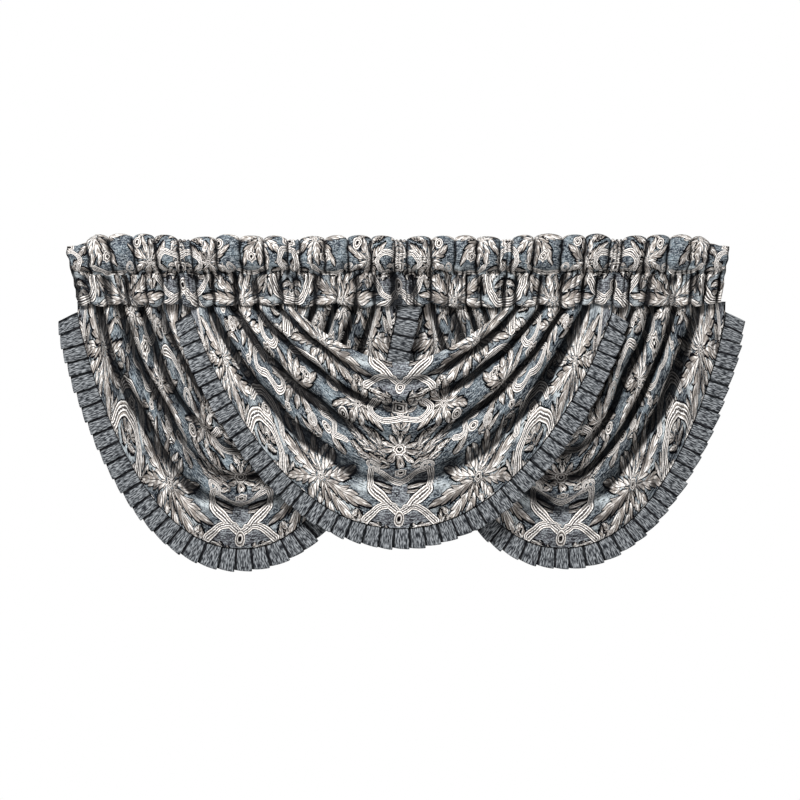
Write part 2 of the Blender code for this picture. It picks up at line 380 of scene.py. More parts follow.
@dataclass
class WovenPattern:
    """Works out which motif each place on the cloth is in, and where in that motif it is.

    The motifs fill one half of the repeat. The other half mirrors them, and both repeat over the cloth.
    """

    half_width: float = HALF_WIDTH
    repeat: float = REPEAT
    strap_points: int = 5
    waver: float = 0.0022
    waver_lengths: tuple[float, float] = (0.07, 0.06)
    highest_tone: float = 0.9
    leaf_margin: float = 1.15
    strap_margin: float = 1.6
    widest_face: float = 0.05
    arch_reach: float = 0.066
    arch_flat: float = 0.012
    arch_height: float = 0.040
    arch_bow: float = 10.0
    arm_slope: float = 0.55
    centre_reach: float = 0.054
    centre_top: float = 0.110
    centre_dark: float = 0.8
    sharp_edge: float = 0.004
    soft_edge: float = 0.006
    light_below: float = 0.082
    light_above: float = 0.225
    light_lengths: tuple[float, float] = (0.16, 0.10)

    def __post_init__(self) -> None:
        """Lists the motifs, with their mirrored and repeated copies."""
        self.leaves = self.leaf_rows()
        self.strap_parts = self.strap_rows()
        self.medallions = self.medallion_rows()

    def copies(self) -> list[tuple[float, float, float]]:
        """Each copy of a motif: 1, or -1 if it is mirrored, and how far it is moved along and up."""
        placed = ((1.0, 0.0), (-1.0, 0.0), (-1.0, 2.0 * self.half_width))
        shifts_v = (-self.repeat, 0.0, self.repeat)
        return [(mirror, shift_u, shift_v) for mirror, shift_u in placed for shift_v in shifts_v]

    def near(self, u: float, v: float, reach: float) -> bool:
        """Whether a motif's copy reaches into the half repeat."""
        return -reach < u < self.half_width + reach and -reach < v < self.repeat + reach

    def leaf_rows(self) -> Grid:
        """One row for each copy of each leaf."""
        leaves = [leaf for frond in FRONDS for leaf in frond.leaves()] + list(SINGLE_LEAVES)
        leaves += [leaf for group in (*SPRAYS, ROSETTE) for leaf in group]
        rows = []
        for number, leaf in enumerate(leaves):
            turn = math.radians(leaf.turn)
            kind = leaf.lobes + min(self.highest_tone, leaf.tone)
            for mirror, shift_u, shift_v in self.copies():
                u, v = leaf.u * mirror + shift_u, leaf.v + shift_v
                if self.near(u, v, leaf.length):
                    run = (math.cos(turn) * mirror, math.sin(turn))
                    rows.append((u, v, *run, leaf.length, leaf.width, leaf.bend * mirror, kind, number))
        return np.array(rows)

    def strap_rows(self) -> Grid:
        """One row for each straight part of each strap's copies."""
        rows = []
        for strap in STRAPS:
            points = np.array(strap.points)
            steps = np.linspace(0.0, len(points) - 1.0, (len(points) - 1) * self.strap_points + 1)
            curve = catmull_rom(np.arange(len(points), dtype=float), points, steps)
            last = len(curve) - 2.0
            for number, (start, end) in enumerate(zip(curve[:-1], curve[1:])):
                length = float(np.hypot(*(end - start)))
                width = strap.width + (strap.end_width - strap.width) * number / last
                run_u, run_v = (end - start) / length
                for mirror, shift_u, shift_v in self.copies():
                    u, v = start[0] * mirror + shift_u, start[1] + shift_v
                    if self.near(u, v, width + length):
                        rows.append((u, v, run_u * mirror, run_v, length, width))
        return np.array(rows)

    def medallion_rows(self) -> Grid:
        """One row for each copy of each medallion."""
        rows = []
        for medal in MEDALLIONS:
            for mirror, shift_u, shift_v in self.copies():
                u, v = medal.u * mirror + shift_u, medal.v + shift_v
                if self.near(u, v, max(medal.wide, medal.tall)):
                    rows.append((u, v, medal.wide, medal.tall, medal.petals, medal.petal_depth))
        return np.array(rows)

    def folded(self, flat: Grid) -> Grid:
        """Places on the cloth as places in the half repeat, with the slight waver of weaving."""
        u, v = flat[:, 0], flat[:, 1]
        long, short = self.waver_lengths
        u = u + self.waver * ripple(u, v, long, short, 71)
        v = v + self.waver * ripple(u, v, short, long, 72)
        width = 2.0 * self.half_width
        return np.stack([np.abs((u + self.half_width) % width - self.half_width), v % self.repeat], axis=1)

    def leaf_places(self, corners: Grid, centres: Grid) -> Grid:
        """Each face corner's place in its face's leaf.

        Args:
            corners: Faces by 4 corners by 2, on the half repeat.
            centres: The faces' middles.

        Returns:
            Faces by 4 corners by 4: along the leaf, across it in centimetres, half width in centimetres, and
            its lobes and tone.
        """
        chosen = nearest(centres, self.leaves, self.leaves[:, LENGTH] * self.leaf_margin, leaf_miss, NO_LEAF)
        has = np.flatnonzero(chosen >= 0)
        rows = self.leaves[chosen[has]]
        found = np.zeros((len(centres), 4, 4))
        found[:, :, 1] = NO_LEAF
        for corner in range(4):
            along, across, _ = leaf_frame(corners[has, corner], rows)
            found[has, corner, 0] = along
            found[has, corner, 1] = across * CENTIMETRES
            found[has, corner, 2] = rows[:, WIDTH] * CENTIMETRES
            found[has, corner, 3] = rows[:, KIND]
        return found

    def strap_places(self, corners: Grid, centres: Grid) -> Grid:
        """Each face corner's place across its face's strap, as a share of its half width."""
        parts = self.strap_parts
        reaches = parts[:, LENGTH] + parts[:, WIDTH] * self.strap_margin
        chosen = nearest(centres, parts, reaches, lambda at, row: strap_share(at, row)[0], NO_BAND)
        has = np.flatnonzero(chosen >= 0)
        found = np.full((len(centres), 4), NO_BAND)
        for corner in range(4):
            share, side = strap_share(corners[has, corner], parts[chosen[has]])
            found[has, corner] = side * share
        return found

    def medallion_places(self, corners: Grid, centres: Grid) -> Grid:
        """Each face corner's distance from its face's medallion, as a share of its radius there."""
        medals = self.medallions
        reaches = NO_BAND * np.maximum(medals[:, WIDE], medals[:, TALL])
        chosen = nearest(centres, medals, reaches, lambda at, row: medallion_share(at, row)[0], NO_BAND)
        has = np.flatnonzero(chosen >= 0)
        found = np.full((len(centres), 4), NO_BAND)
        for corner in range(4):
            share, petal = medallion_share(corners[has, corner], medals[chosen[has]])
            found[has, corner] = share / petal
        return found

    def ground(self, flat: Grid) -> Grid:
        """How dark a patch is behind the arches, and how light the ground is, from 0 to 1."""
        u, v = flat[:, 0], flat[:, 1]
        arch = self.arch_height - self.arch_bow * np.maximum(0.0, u - self.arch_flat) ** 2
        sharp, soft = self.sharp_edge, self.soft_edge
        under_arch = smooth((self.arch_reach - u) / soft) * smooth((arch - v) / sharp)
        over_arms = smooth((v - self.arch_height - self.arm_slope * u) / sharp)
        centre = smooth((self.centre_reach - u) / sharp) * over_arms * smooth((self.centre_top - v) / soft)
        light = smooth((self.light_below - v) / 0.012) + smooth((v - self.light_above) / 0.02)
        broad = light * 0.9 + 0.25 * ripple(u, v, *self.light_lengths, 77)
        dark = np.maximum(under_arch, self.centre_dark * centre)
        return np.stack([dark, np.clip(broad, 0.0, 1.0)], axis=1)

    def mark(self, mesh: bpy.types.Mesh, corners: Grid) -> None:
        """Stores the motifs' coordinates on a mesh of quads.

        Args:
            mesh: The sheet's mesh.
            corners: Where each face corner was on the flat cloth.
        """
        places = self.folded(corners).reshape(-1, 4, 2)
        spread = places.max(axis=1) - places.min(axis=1)
        over_an_edge = (spread > self.widest_face).any(axis=1)
        places[over_an_edge] = places[over_an_edge][:, :1]
        centres = places.mean(axis=1)
        straps = self.strap_places(places, centres)[:, :, None]
        medallions = self.medallion_places(places, centres)[:, :, None]
        ground = self.ground(places.reshape(-1, 2)).reshape(-1, 4, 2)
        bands = np.concatenate([straps, medallions, ground], axis=2)
        for name, values in (("leaf", self.leaf_places(places, centres)), ("band", bands)):
            stored = mesh.attributes.new(name, "FLOAT_COLOR", "CORNER")
            stored.data.foreach_set("color", values.reshape(-1).astype(np.float32))


def nearest(
    centres: Grid, rows: Grid, reaches: Grid, measure: Callable[[Grid, Grid], Grid], limit: float
) -> Grid:
    """Picks one motif for each face.

    Args:
        centres: The faces' middles.
        rows: The motifs.
        reaches: How far from its place each motif can reach.
        measure: Gives points' distances from one motif.
        limit: The distance from which on a motif is too far away.

    Returns:
        The number of each face's motif, or -1 for none.
    """
    best = np.full(len(centres), limit)
    chosen = np.full(len(centres), -1)
    for i, (row, reach) in enumerate(zip(rows, reaches)):
        close = np.flatnonzero((np.abs(centres - row[[U, V]]) < reach).all(axis=1))
        score = measure(centres[close], row[None, :])
        better = score < best[close]
        best[close[better]] = score[better]
        chosen[close[better]] = i
    return chosen


def run_frame(points: Grid, rows: Grid) -> tuple[Grid, Grid]:
    """How far points are along a motif's direction, and to its side."""
    away_u, away_v = points[:, 0] - rows[:, U], points[:, 1] - rows[:, V]
    run_u, run_v = rows[:, RUN_U], rows[:, RUN_V]
    return away_u * run_u + away_v * run_v, -away_u * run_v + away_v * run_u


def leaf_frame(points: Grid, rows: Grid) -> tuple[Grid, Grid, Grid]:
    """Where points are in a leaf.

    Args:
        points: The points.
        rows: The leaves, one for each point, or one for all.

    Returns:
        The share of the way along the midrib, the distance across from it, and the leaf's half width there.
    """
    reach, side = run_frame(points, rows)
    along = reach / rows[:, LENGTH]
    across = side - 0.5 * rows[:, BEND] * reach * along
    inside = np.clip(along, 0.0, 1.0)
    half = rows[:, WIDTH] * np.sin(math.pi * inside**LEAF_BASE) ** LEAF_SIDE
    return along, across, half


def leaf_miss(points: Grid, rows: Grid) -> Grid:
    """How far points are outside a leaf, or less than 0 inside it, where later leaves lie on top."""
    along, across, half = leaf_frame(points, rows)
    miss = np.where((along > 0.0) & (along < 1.0), np.abs(across) - half, NO_LEAF)
    return np.where(miss < LEAF_RIM, -1.0 - 0.001 * rows[:, NUMBER], miss)


def strap_share(points: Grid, rows: Grid) -> tuple[Grid, Grid]:
    """How far points are from one straight part of a strap, in half widths, and on which side."""
    along, across = run_frame(points, rows)
    beyond = np.maximum(np.maximum(-along, along - rows[:, LENGTH]), 0.0)
    return np.hypot(across, beyond) / rows[:, WIDTH], np.sign(across)


def medallion_share(points: Grid, rows: Grid) -> tuple[Grid, Grid]:
    """How far points are from a medallion's centre, in radii, and how far out its petals reach there."""
    across = (points[:, 0] - rows[:, U]) / rows[:, WIDE]
    up = (points[:, 1] - rows[:, V]) / rows[:, TALL]
    petal = np.cos(rows[:, PETALS] * np.arctan2(up, across))
    return np.hypot(across, up), 1.0 - rows[:, PETAL_DEPTH] * petal


@dataclass
class Level:
    """A number that a material works out at every point of a surface."""

    tree: bpy.types.NodeTree
    socket: bpy.types.NodeSocket

    def worked(self, operation: str, *others: "Level | float") -> "Level":
        """The result of one arithmetic step.

        Args:
            operation: The step's name.
            others: The other numbers it takes.

        Returns:
            The result.
        """
        node = self.tree.nodes.new("ShaderNodeMath")
        node.operation = operation
        for value, entry in zip((self, *others), node.inputs):
            if isinstance(value, Level):
                self.tree.links.new(value.socket, entry)
            else:
                entry.default_value = value
        return Level(self.tree, node.outputs[0])

    def __add__(self, other: "Level | float") -> "Level":
        """The sum."""
        return self.worked("ADD", other)

    def __sub__(self, other: "Level | float") -> "Level":
        """The difference."""
        return self.worked("SUBTRACT", other)

    def __mul__(self, other: "Level | float") -> "Level":
        """The product."""
        return self.worked("MULTIPLY", other)

    def __truediv__(self, other: "Level | float") -> "Level":
        """The quotient."""
        return self.worked("DIVIDE", other)

    def __pow__(self, other: float) -> "Level":
        """The power."""
        return self.worked("POWER", other)

    def size(self) -> "Level":
        """The number without its sign."""
        return self.worked("ABSOLUTE")

    def part(self) -> "Level":
        """What is over the last whole number."""
        return self.worked("FRACT")

    def least(self, other: "Level | float") -> "Level":
        """The smaller of two numbers."""
        return self.worked("MINIMUM", other)

    def most(self, other: "Level | float") -> "Level":
        """The larger of two numbers."""
        return self.worked("MAXIMUM", other)

    def ramp(self, low: float, high: float, start: float = 0.0, end: float = 1.0) -> "Level":
        """A soft step.

        Args:
            low: Where the step starts.
            high: Where it is over, on either side of low.
            start: The result before the step.
            end: The result past it.

        Returns:
            The result.
        """
        node = self.tree.nodes.new("ShaderNodeMapRange")
        node.interpolation_type = "SMOOTHSTEP"
        self.tree.links.new(self.socket, node.inputs["Value"])
        if high < low:
            low, high, start, end = high, low, end, start
        for name, value in (("From Min", low), ("From Max", high), ("To Min", start), ("To Max", end)):
            node.inputs[name].default_value = value
        return Level(self.tree, node.outputs["Result"])


@dataclass(frozen=True)
class Shade:
    """A colour, as a screen shows it, from 0 to 255."""

    red: int
    green: int
    blue: int

    def linear(self) -> tuple[float, float, float, float]:
        """The colour as light."""
        parts = (self.red, self.green, self.blue)
        return (*(((value / 255.0 + 0.055) / 1.055) ** 2.4 for value in parts), 1.0)


@dataclass
class Loom:
    """Puts a material together, step by step."""

    tree: bpy.types.NodeTree

    def attribute(self, name: str) -> tuple[Level, Level, Level, Level]:
        """The four numbers of one of the sheet's attributes."""
        node = self.tree.nodes.new("ShaderNodeAttribute")
        node.attribute_name = name
        parts = self.tree.nodes.new("ShaderNodeSeparateColor")
        self.tree.links.new(node.outputs["Color"], parts.inputs[0])
        sockets = (*parts.outputs, node.outputs["Alpha"])
        return tuple(Level(self.tree, socket) for socket in sockets)

    def value(self, name: str) -> Level:
        """The one number of one of the sheet's attributes."""
        node = self.tree.nodes.new("ShaderNodeAttribute")
        node.attribute_name = name
        return Level(self.tree, node.outputs["Fac"])

    def cloth_place(self, wide: float, tall: float) -> bpy.types.NodeSocket:
        """The place on the flat cloth, stretched by two scales."""
        place = self.tree.nodes.new("ShaderNodeUVMap")
        place.uv_map = "cloth"
        scaled = self.tree.nodes.new("ShaderNodeMapping")
        scaled.inputs["Scale"].default_value = (wide, tall, 1.0)
        self.tree.links.new(place.outputs["UV"], scaled.inputs["Vector"])
        return scaled.outputs["Vector"]

    def noise(self, wide: float, tall: float, detail: float = 2.0) -> Level:
        """Uneven cloudiness with so many spots to the metre along and across the cloth."""
        node = self.tree.nodes.new("ShaderNodeTexNoise")
        node.noise_dimensions = "2D"
        node.inputs["Scale"].default_value = 1.0
        node.inputs["Detail"].default_value = detail
        self.tree.links.new(self.cloth_place(wide, tall), node.inputs["Vector"])
        return Level(self.tree, node.outputs["Fac"])

    def mixed(
        self, share: Level, first: "Shade | bpy.types.NodeSocket", second: "Shade | bpy.types.NodeSocket"
    ) -> bpy.types.NodeSocket:
        """One colour turning into another.

        Args:
            share: How much there is of the second, from 0 to 1.
            first: The first colour.
            second: The second colour.

        Returns:
            The colour.
        """
        node = self.tree.nodes.new("ShaderNodeMix")
        node.data_type = "RGBA"
        self.tree.links.new(share.socket, node.inputs["Factor"])
        for colour, entry in ((first, "A"), (second, "B")):
            slot = next(s for s in node.inputs if s.name == entry and s.type == "RGBA")
            if isinstance(colour, Shade):
                slot.default_value = colour.linear()
            else:
                self.tree.links.new(colour, slot)
        return next(s for s in node.outputs if s.type == "RGBA")

    def banded(self, across: Level, stops: tuple[tuple[float, Shade], ...]) -> bpy.types.NodeSocket:
        """Stripes of colour, from a row of places and colours."""
        node = self.tree.nodes.new("ShaderNodeValToRGB")
        ramp = node.color_ramp
        for place, shade in stops[1:-1]:
            ramp.elements.new(place).color = shade.linear()
        ramp.elements[0].position, ramp.elements[0].color = stops[0][0], stops[0][1].linear()
        ramp.elements[-1].position, ramp.elements[-1].color = stops[-1][0], stops[-1][1].linear()
        self.tree.links.new(across.socket, node.inputs[0])
        return node.outputs["Color"]

    def finish(self, colour: bpy.types.NodeSocket, height: Level, roughness: float, depth: float) -> None:
        """Joins the colour and the relief to the surface.

        Args:
            colour: The surface's colour.
            height: The weave's relief, from 0 to 1.
            roughness: How matte the surface is.
            depth: The relief's depth in metres.
        """
        shader = self.tree.nodes["Principled BSDF"]
        bump = self.tree.nodes.new("ShaderNodeBump")
        bump.inputs["Strength"].default_value = 0.8
        bump.inputs["Distance"].default_value = depth
        self.tree.links.new(height.socket, bump.inputs["Height"])
        self.tree.links.new(bump.outputs["Normal"], shader.inputs["Normal"])
        self.tree.links.new(colour, shader.inputs["Base Color"])
        shader.inputs["Roughness"].default_value = roughness
        shader.inputs["Specular IOR Level"].default_value = 0.02


@dataclass
class Weave:
    """The uneven levels that all the damask's colours share."""

    streaks: Level
    clouds: Level
    speckle: Level
    ragged: Level


Colour = bpy.types.NodeSocket
Stops = tuple[tuple[float, Shade], ...]


@dataclass(frozen=True)
class Damask:
    """The jacquard's finish: cream leaves and straps on slate blue, with dark outlines."""

    cream: Shade = Shade(254, 250, 246)
    cream_shade: Shade = Shade(156, 148, 141)
    brown: Shade = Shade(78, 73, 71)
    outline: Shade = Shade(5, 6, 9)
    slate: Shade = Shade(103, 115, 123)
    slate_light: Shade = Shade(178, 185, 188)
    slate_dark: Shade = Shade(48, 56, 66)
    charcoal: Shade = Shade(82, 82, 88)
    # The colour of the shade painted into the folds
    painted_shade: Shade = Shade(8, 9, 12)
    band_range: float = 1.25
    roughness: float = 0.88
    relief: float = 0.0005

    def build(self) -> bpy.types.Material:
        """Builds the material.

        Returns:
            The material.
        """
        material = bpy.data.materials.new("damask_cloth")
        material.use_nodes = True
        loom = Loom(material.node_tree)
        speckle = loom.noise(300.0, 400.0, 1.0)
        weave = Weave(loom.noise(80.0, 430.0), loom.noise(26.0, 40.0), speckle, (speckle - 0.5) * 0.10)
        strap, medal, dark_patch, broad = loom.attribute("band")
        cloth, in_leaf = self.leaf(loom, weave, self.ground(loom, weave, dark_patch, broad))

        across_strap = strap.size() + weave.ragged
        stripes = loom.banded(across_strap / self.band_range, self.stripes())
        cloth = loom.mixed(across_strap.ramp(1.04, 0.98), cloth, stripes)
        from_centre = medal + weave.ragged
        rings = loom.banded(from_centre / self.band_range, self.rings())
        cloth = loom.mixed(from_centre.ramp(1.03, 0.97), cloth, rings)

        cloth = loom.mixed(speckle.ramp(0.44, 0.27, 0.0, 0.60), cloth, self.outline)
        # Painted shade: the sheet's painted shade, varied by the clouds, turns the cloth near black in folds
        depth = loom.value("painted_shade") + (weave.clouds - 0.5) * 0.55
        cloth = loom.mixed(depth.ramp(0.12, 0.78, 0.0, 0.94), cloth, self.painted_shade)
        threads = weave.streaks * 0.5 + speckle * 0.5 + in_leaf * 0.6
        loom.finish(cloth, threads, self.roughness, self.relief)
        return material

    def ground(self, loom: Loom, weave: Weave, dark_patch: Level, broad: Level) -> Colour:
        """The slate ground, with its streaks along the weft.

        Args:
            loom: Where the colour is made.
            weave: The shared levels.
            dark_patch: Where the ground is charcoal.
            broad: Where it is light.

        Returns:
            The colour.
        """
        streaks = weave.streaks
        ground = loom.mixed(broad.ramp(0.35, 0.65), self.slate, self.slate_light)
        ground = loom.mixed((weave.clouds + streaks * 0.6).ramp(0.58, 0.86), ground, self.slate_dark)
        ground = loom.mixed(dark_patch, ground, self.charcoal)
        ground = loom.mixed(streaks.ramp(0.46, 0.74, 0.0, 0.60), ground, self.slate_light)
        ground = loom.mixed(streaks.ramp(0.47, 0.32, 0.0, 0.82), ground, self.outline)
        return loom.mixed(weave.speckle.ramp(0.56, 0.74, 0.0, 0.60), ground, self.slate_light)

    def leaf(self, loom: Loom, weave: Weave, ground: Colour) -> tuple[Colour, Level]:
        """The leaves over the ground, each with lobes, a midrib, strokes and a dark rim.

        Args:
            loom: Where the colour is made.
            weave: The shared levels.
            ground: The ground's colour.

        Returns:
            The colour, and where the leaves are.
        """
        along, across, width, kind = loom.attribute("leaf")
        inside = along.most(0.0).least(1.0)
        half = ((inside**LEAF_BASE) * math.pi).worked("SINE").most(0.0) ** LEAF_SIDE * width
        away = across.size()
        share = away / (half + 0.001)
        lobes = kind.worked("FLOOR")
        phase = (along * lobes - share * 0.75).part()
        notch = ((phase * -1.0 + 1.0) ** 1.5).most(phase.ramp(0.84, 1.0))
        beyond = away - half * (notch * -0.50 + 1.0) + weave.ragged
        short_of_tip = (along - 0.5).size().ramp(0.485, 0.5) * -1.0 + 1.0
        in_leaf = beyond.ramp(0.03, -0.03) * short_of_tip
        between = (phase - 0.5).size().ramp(0.37, 0.46) * share.ramp(0.26, 0.52)
        midrib = away.ramp(0.075, 0.035) * along.ramp(0.80, 0.60)
        side = across.ramp(-0.06, 0.06)
        rim = (beyond - side * 0.26).ramp(0.30, 0.18) * short_of_tip

        clouds = weave.clouds
        shading = phase.ramp(0.05, 0.70) * 0.55 + side * 0.30 + clouds * 0.25
        leaf = loom.mixed(shading.ramp(0.85, 0.30), self.cream_shade, self.cream)
        leaf = loom.mixed(kind.part().ramp(0.45, 0.9, 0.0, 0.6), leaf, self.cream_shade)
        leaf = loom.mixed((clouds + weave.speckle * 0.5).ramp(0.78, 1.00, 0.0, 0.75), leaf, self.brown)
        strokes = ((share * 2.1 - along * 3.2).part() - 0.5).size().ramp(0.27, 0.45, 0.0, 0.92)
        leaf = loom.mixed(strokes * share.ramp(0.10, 0.30), leaf, self.brown)
        leaf = loom.mixed(between.most(midrib), leaf, self.outline)
        return loom.mixed(in_leaf, loom.mixed(rim, ground, self.outline), leaf), in_leaf

    def stripes(self) -> Stops:
        """A strap's stripes, from its middle line to its edge."""
        return (
            (0.00, self.brown),
            (0.08, self.brown),
            (0.12, self.outline),
            (0.17, self.cream),
            (0.25, self.cream),
            (0.30, self.brown),
            (0.35, self.outline),
            (0.40, self.cream_shade),
            (0.50, self.cream_shade),
            (0.55, self.cream),
            (0.63, self.cream),
            (0.68, self.outline),
            (0.80, self.outline),
        )

    def rings(self) -> Stops:
        """A medallion's rings, from its centre to its edge."""
        return (
            (0.00, self.cream),
            (0.08, self.cream),
            (0.13, self.outline),
            (0.24, self.outline),
            (0.30, self.cream_shade),
            (0.40, self.cream),
            (0.46, self.outline),
            (0.50, self.brown),
            (0.60, self.cream_shade),
            (0.72, self.cream),
            (0.76, self.outline),
        )


@dataclass(frozen=True)
class Chenille:
    """The ruffle's finish: a matte grey pile with fine ribs, and painted shade between its pleats."""

    pile: Shade = Shade(86, 89, 92)
    pile_dark: Shade = Shade(30, 32, 36)
    pile_light: Shade = Shade(144, 147, 150)
    # The colour of the shade painted between the pleats and under the hem
    painted_shade: Shade = Shade(8, 9, 12)
    roughness: float = 0.95
    relief: float = 0.0006

    def build(self) -> bpy.types.Material:
        """Builds the material.

        Returns:
            The material.
        """
        material = bpy.data.materials.new("chenille_cloth")
        material.use_nodes = True
        loom = Loom(material.node_tree)
        ribs = loom.noise(600.0, 105.0, 1.0)
        clouds = loom.noise(60.0, 60.0)
        cloth = loom.mixed(clouds.ramp(0.40, 0.75, 0.0, 0.4), self.pile, self.pile_dark)
        cloth = loom.mixed(ribs.ramp(0.52, 0.63, 0.0, 0.8), cloth, self.pile_light)
        cloth = loom.mixed(ribs.ramp(0.48, 0.38, 0.0, 0.95), cloth, self.pile_dark)
        # Painted shade between the pleats and under the swag's hem
        cloth = loom.mixed(loom.value("painted_shade").ramp(0.16, 0.74, 0.0, 0.92), cloth, self.painted_shade)
        loom.finish(cloth, ribs, self.roughness, self.relief)
        return material


@dataclass
class ClothSheet:
    """One cut and sewn piece of cloth, laid out as a grid of points.

    Rows run from the piece's top edge to its hem and columns from left to right as a viewer sees it.
    """

    name: str
    node: str
    pattern: WovenPattern | None = None
    cut: tuple[float, float] = (0.0, 0.0)
    area: float = 0.0
    slot: str = "woven_jacquard"

    def lay(self, places: Grid, flat: Grid, painted_shade: Grid) -> bpy.types.Object:
        """Makes the sheet from a grid of points.

        Args:
            places: The points, rows by columns by 3.
            flat: Where each point was on the flat cloth, rows by columns by 2.
            painted_shade: How much shade is painted into each point's colour, from 0 to 1, most in the
                folds.

        Returns:
            The sheet, with its thickness.
        """
        down, across = places.shape[:2]
        bpy.ops.object.select_all(action="DESELECT")
        bpy.ops.mesh.primitive_grid_add(x_subdivisions=across - 1, y_subdivisions=down - 1, size=1.0)
        sheet = bpy.context.active_object
        sheet.name = self.name
        mesh = sheet.data
        mesh.name = self.name
        mesh.vertices.foreach_set("co", places[::-1].reshape(-1))
        self.cut = tuple(float(size) for size in np.ptp(flat.reshape(-1, 2), axis=0))
        self.area = layout_area(flat)
        corner_points = np.empty(len(mesh.loops), int)
        mesh.loops.foreach_get("vertex_index", corner_points)
        corners = flat[::-1].reshape(-1, 2)[corner_points]
        mesh.uv_layers.active.name = "cloth"
        mesh.uv_layers.active.data.foreach_set("uv", corners.reshape(-1))
        # The shade that the materials paint into the colour, kept on the points
        depth = mesh.attributes.new("painted_shade", "FLOAT", "POINT")
        depth.data.foreach_set("value", painted_shade[::-1].reshape(-1))
        if self.pattern is not None:
            self.pattern.mark(mesh, corners)
        mesh.update()
        mesh.shade_smooth()
        wall = sheet.modifiers.new("thickness", "SOLIDIFY")
        wall.thickness = CLOTH_THICKNESS
        wall.offset = 0.0
        bpy.ops.object.modifier_apply(modifier=wall.name)
        return sheet

    def dress(self, sheet: bpy.types.Object, finish: bpy.types.Material, held: str, on: list[str]) -> None:
        """Gives the sheet its finish and puts it in its solid's place.

        Args:
            sheet: The sheet.
            finish: Its material.
            held: How the cloth is held; not used.
            on: The names of the pieces that it hangs from; not used.
        """
        sheet.data.materials.clear()
        sheet.data.materials.append(finish)
        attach(sheet, "root")
        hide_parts(self.node)
        count = sum(len(face.vertices) - 2 for face in sheet.data.polygons)
        LOG.info("%s: cut %.3f by %.3f, %d triangles", sheet.name, *self.cut, count)


def layout_area(flat: Grid) -> float:
    """The area of a sheet's flat layout, in square metres, whatever shape the cloth hangs in."""
    first = flat[1:, 1:] - flat[:-1, :-1]
    second = flat[1:, :-1] - flat[:-1, 1:]
    return float(np.abs(first[..., 0] * second[..., 1] - first[..., 1] * second[..., 0]).sum() / 2.0)


@dataclass
class Gather:
    """One gather of the rod pocket: its width, how full it is, and how far its top has sunk."""

    width: float
    fullness: float
    sunk: float


TAB = Gather(0.036, 0.20, 0.017)
PINCH = Gather(0.021, 0.30, 0.007)
GATHERS = (
    TAB,
    Gather(0.041, 0.95, 0.001),
    Gather(0.043, 1.00, 0.000),
    Gather(0.039, 0.95, 0.000),
    Gather(0.042, 1.00, 0.002),
    PINCH,
    Gather(0.046, 0.90, 0.005),
    Gather(0.043, 1.00, 0.001),
    Gather(0.042, 0.90, 0.003),
    Gather(0.043, 0.95, 0.003),
    PINCH,
    Gather(0.045, 0.95, 0.004),
    Gather(0.042, 1.00, 0.003),
    Gather(0.041, 0.90, 0.002),
    Gather(0.043, 0.95, 0.003),
    PINCH,
    Gather(0.044, 0.95, 0.004),
    Gather(0.043, 0.90, 0.003),
    Gather(0.038, 1.00, 0.003),
    Gather(0.042, 0.90, 0.004),
    PINCH,
    Gather(0.040, 0.95, 0.002),
    Gather(0.050, 1.00, 0.000),
    Gather(0.041, 0.90, 0.001),
    Gather(0.045, 1.00, 0.000),
    PINCH,
    Gather(0.043, 0.95, 0.003),
    Gather(0.041, 1.00, 0.002),
    Gather(0.040, 0.95, 0.001),
    Gather(0.033, 0.90, 0.004),
    TAB,
)


@dataclass
class Station:
    """One point of the header strip's section, at a gather's crest and in the groove between two."""

    crest_forward: float
    crest_z: float
    groove_forward: float
    groove_z: float


# From the back hem up over the rod and down to the front hem
HEADER_SECTION = (
    Station(-0.0080, -0.1260, -0.0070, -0.1260),
    Station(-0.0040, -0.0980, -0.0030, -0.0980),
    Station(0.0120, -0.0720, 0.0100, -0.0720),
    Station(0.0110, -0.0640, 0.0095, -0.0640),
    Station(-0.0070, -0.0500, -0.0010, -0.0500),
    Station(-0.0105, -0.0340, -0.0030, -0.0340),
    Station(-0.0080, -0.0160, -0.0020, -0.0200),
    Station(0.0020, -0.0030, 0.0040, -0.0110),
    Station(0.0180, 0.0005, 0.0170, -0.0080),
    Station(0.0330, -0.0040, 0.0270, -0.0110),
    Station(0.0420, -0.0170, 0.0300, -0.0200),
    Station(0.0440, -0.0340, 0.0300, -0.0360),
    Station(0.0410, -0.0500, 0.0270, -0.0520),
    Station(0.0330, -0.0615, 0.0230, -0.0615),
    Station(0.0210, -0.0665, 0.0170, -0.0665),
    Station(0.0200, -0.0695, 0.0165, -0.0695),
    Station(0.0260, -0.0750, 0.0120, -0.0750),
    Station(0.0285, -0.0880, 0.0070, -0.0880),
    Station(0.0300, -0.1030, 0.0070, -0.1030),
    Station(0.0300, -0.1170, 0.0130, -0.1140),
    Station(0.0265, -0.1270, 0.0165, -0.1220),
    Station(0.0210, -0.1300, 0.0170, -0.1240),
)
STITCH_STATION = 14.5


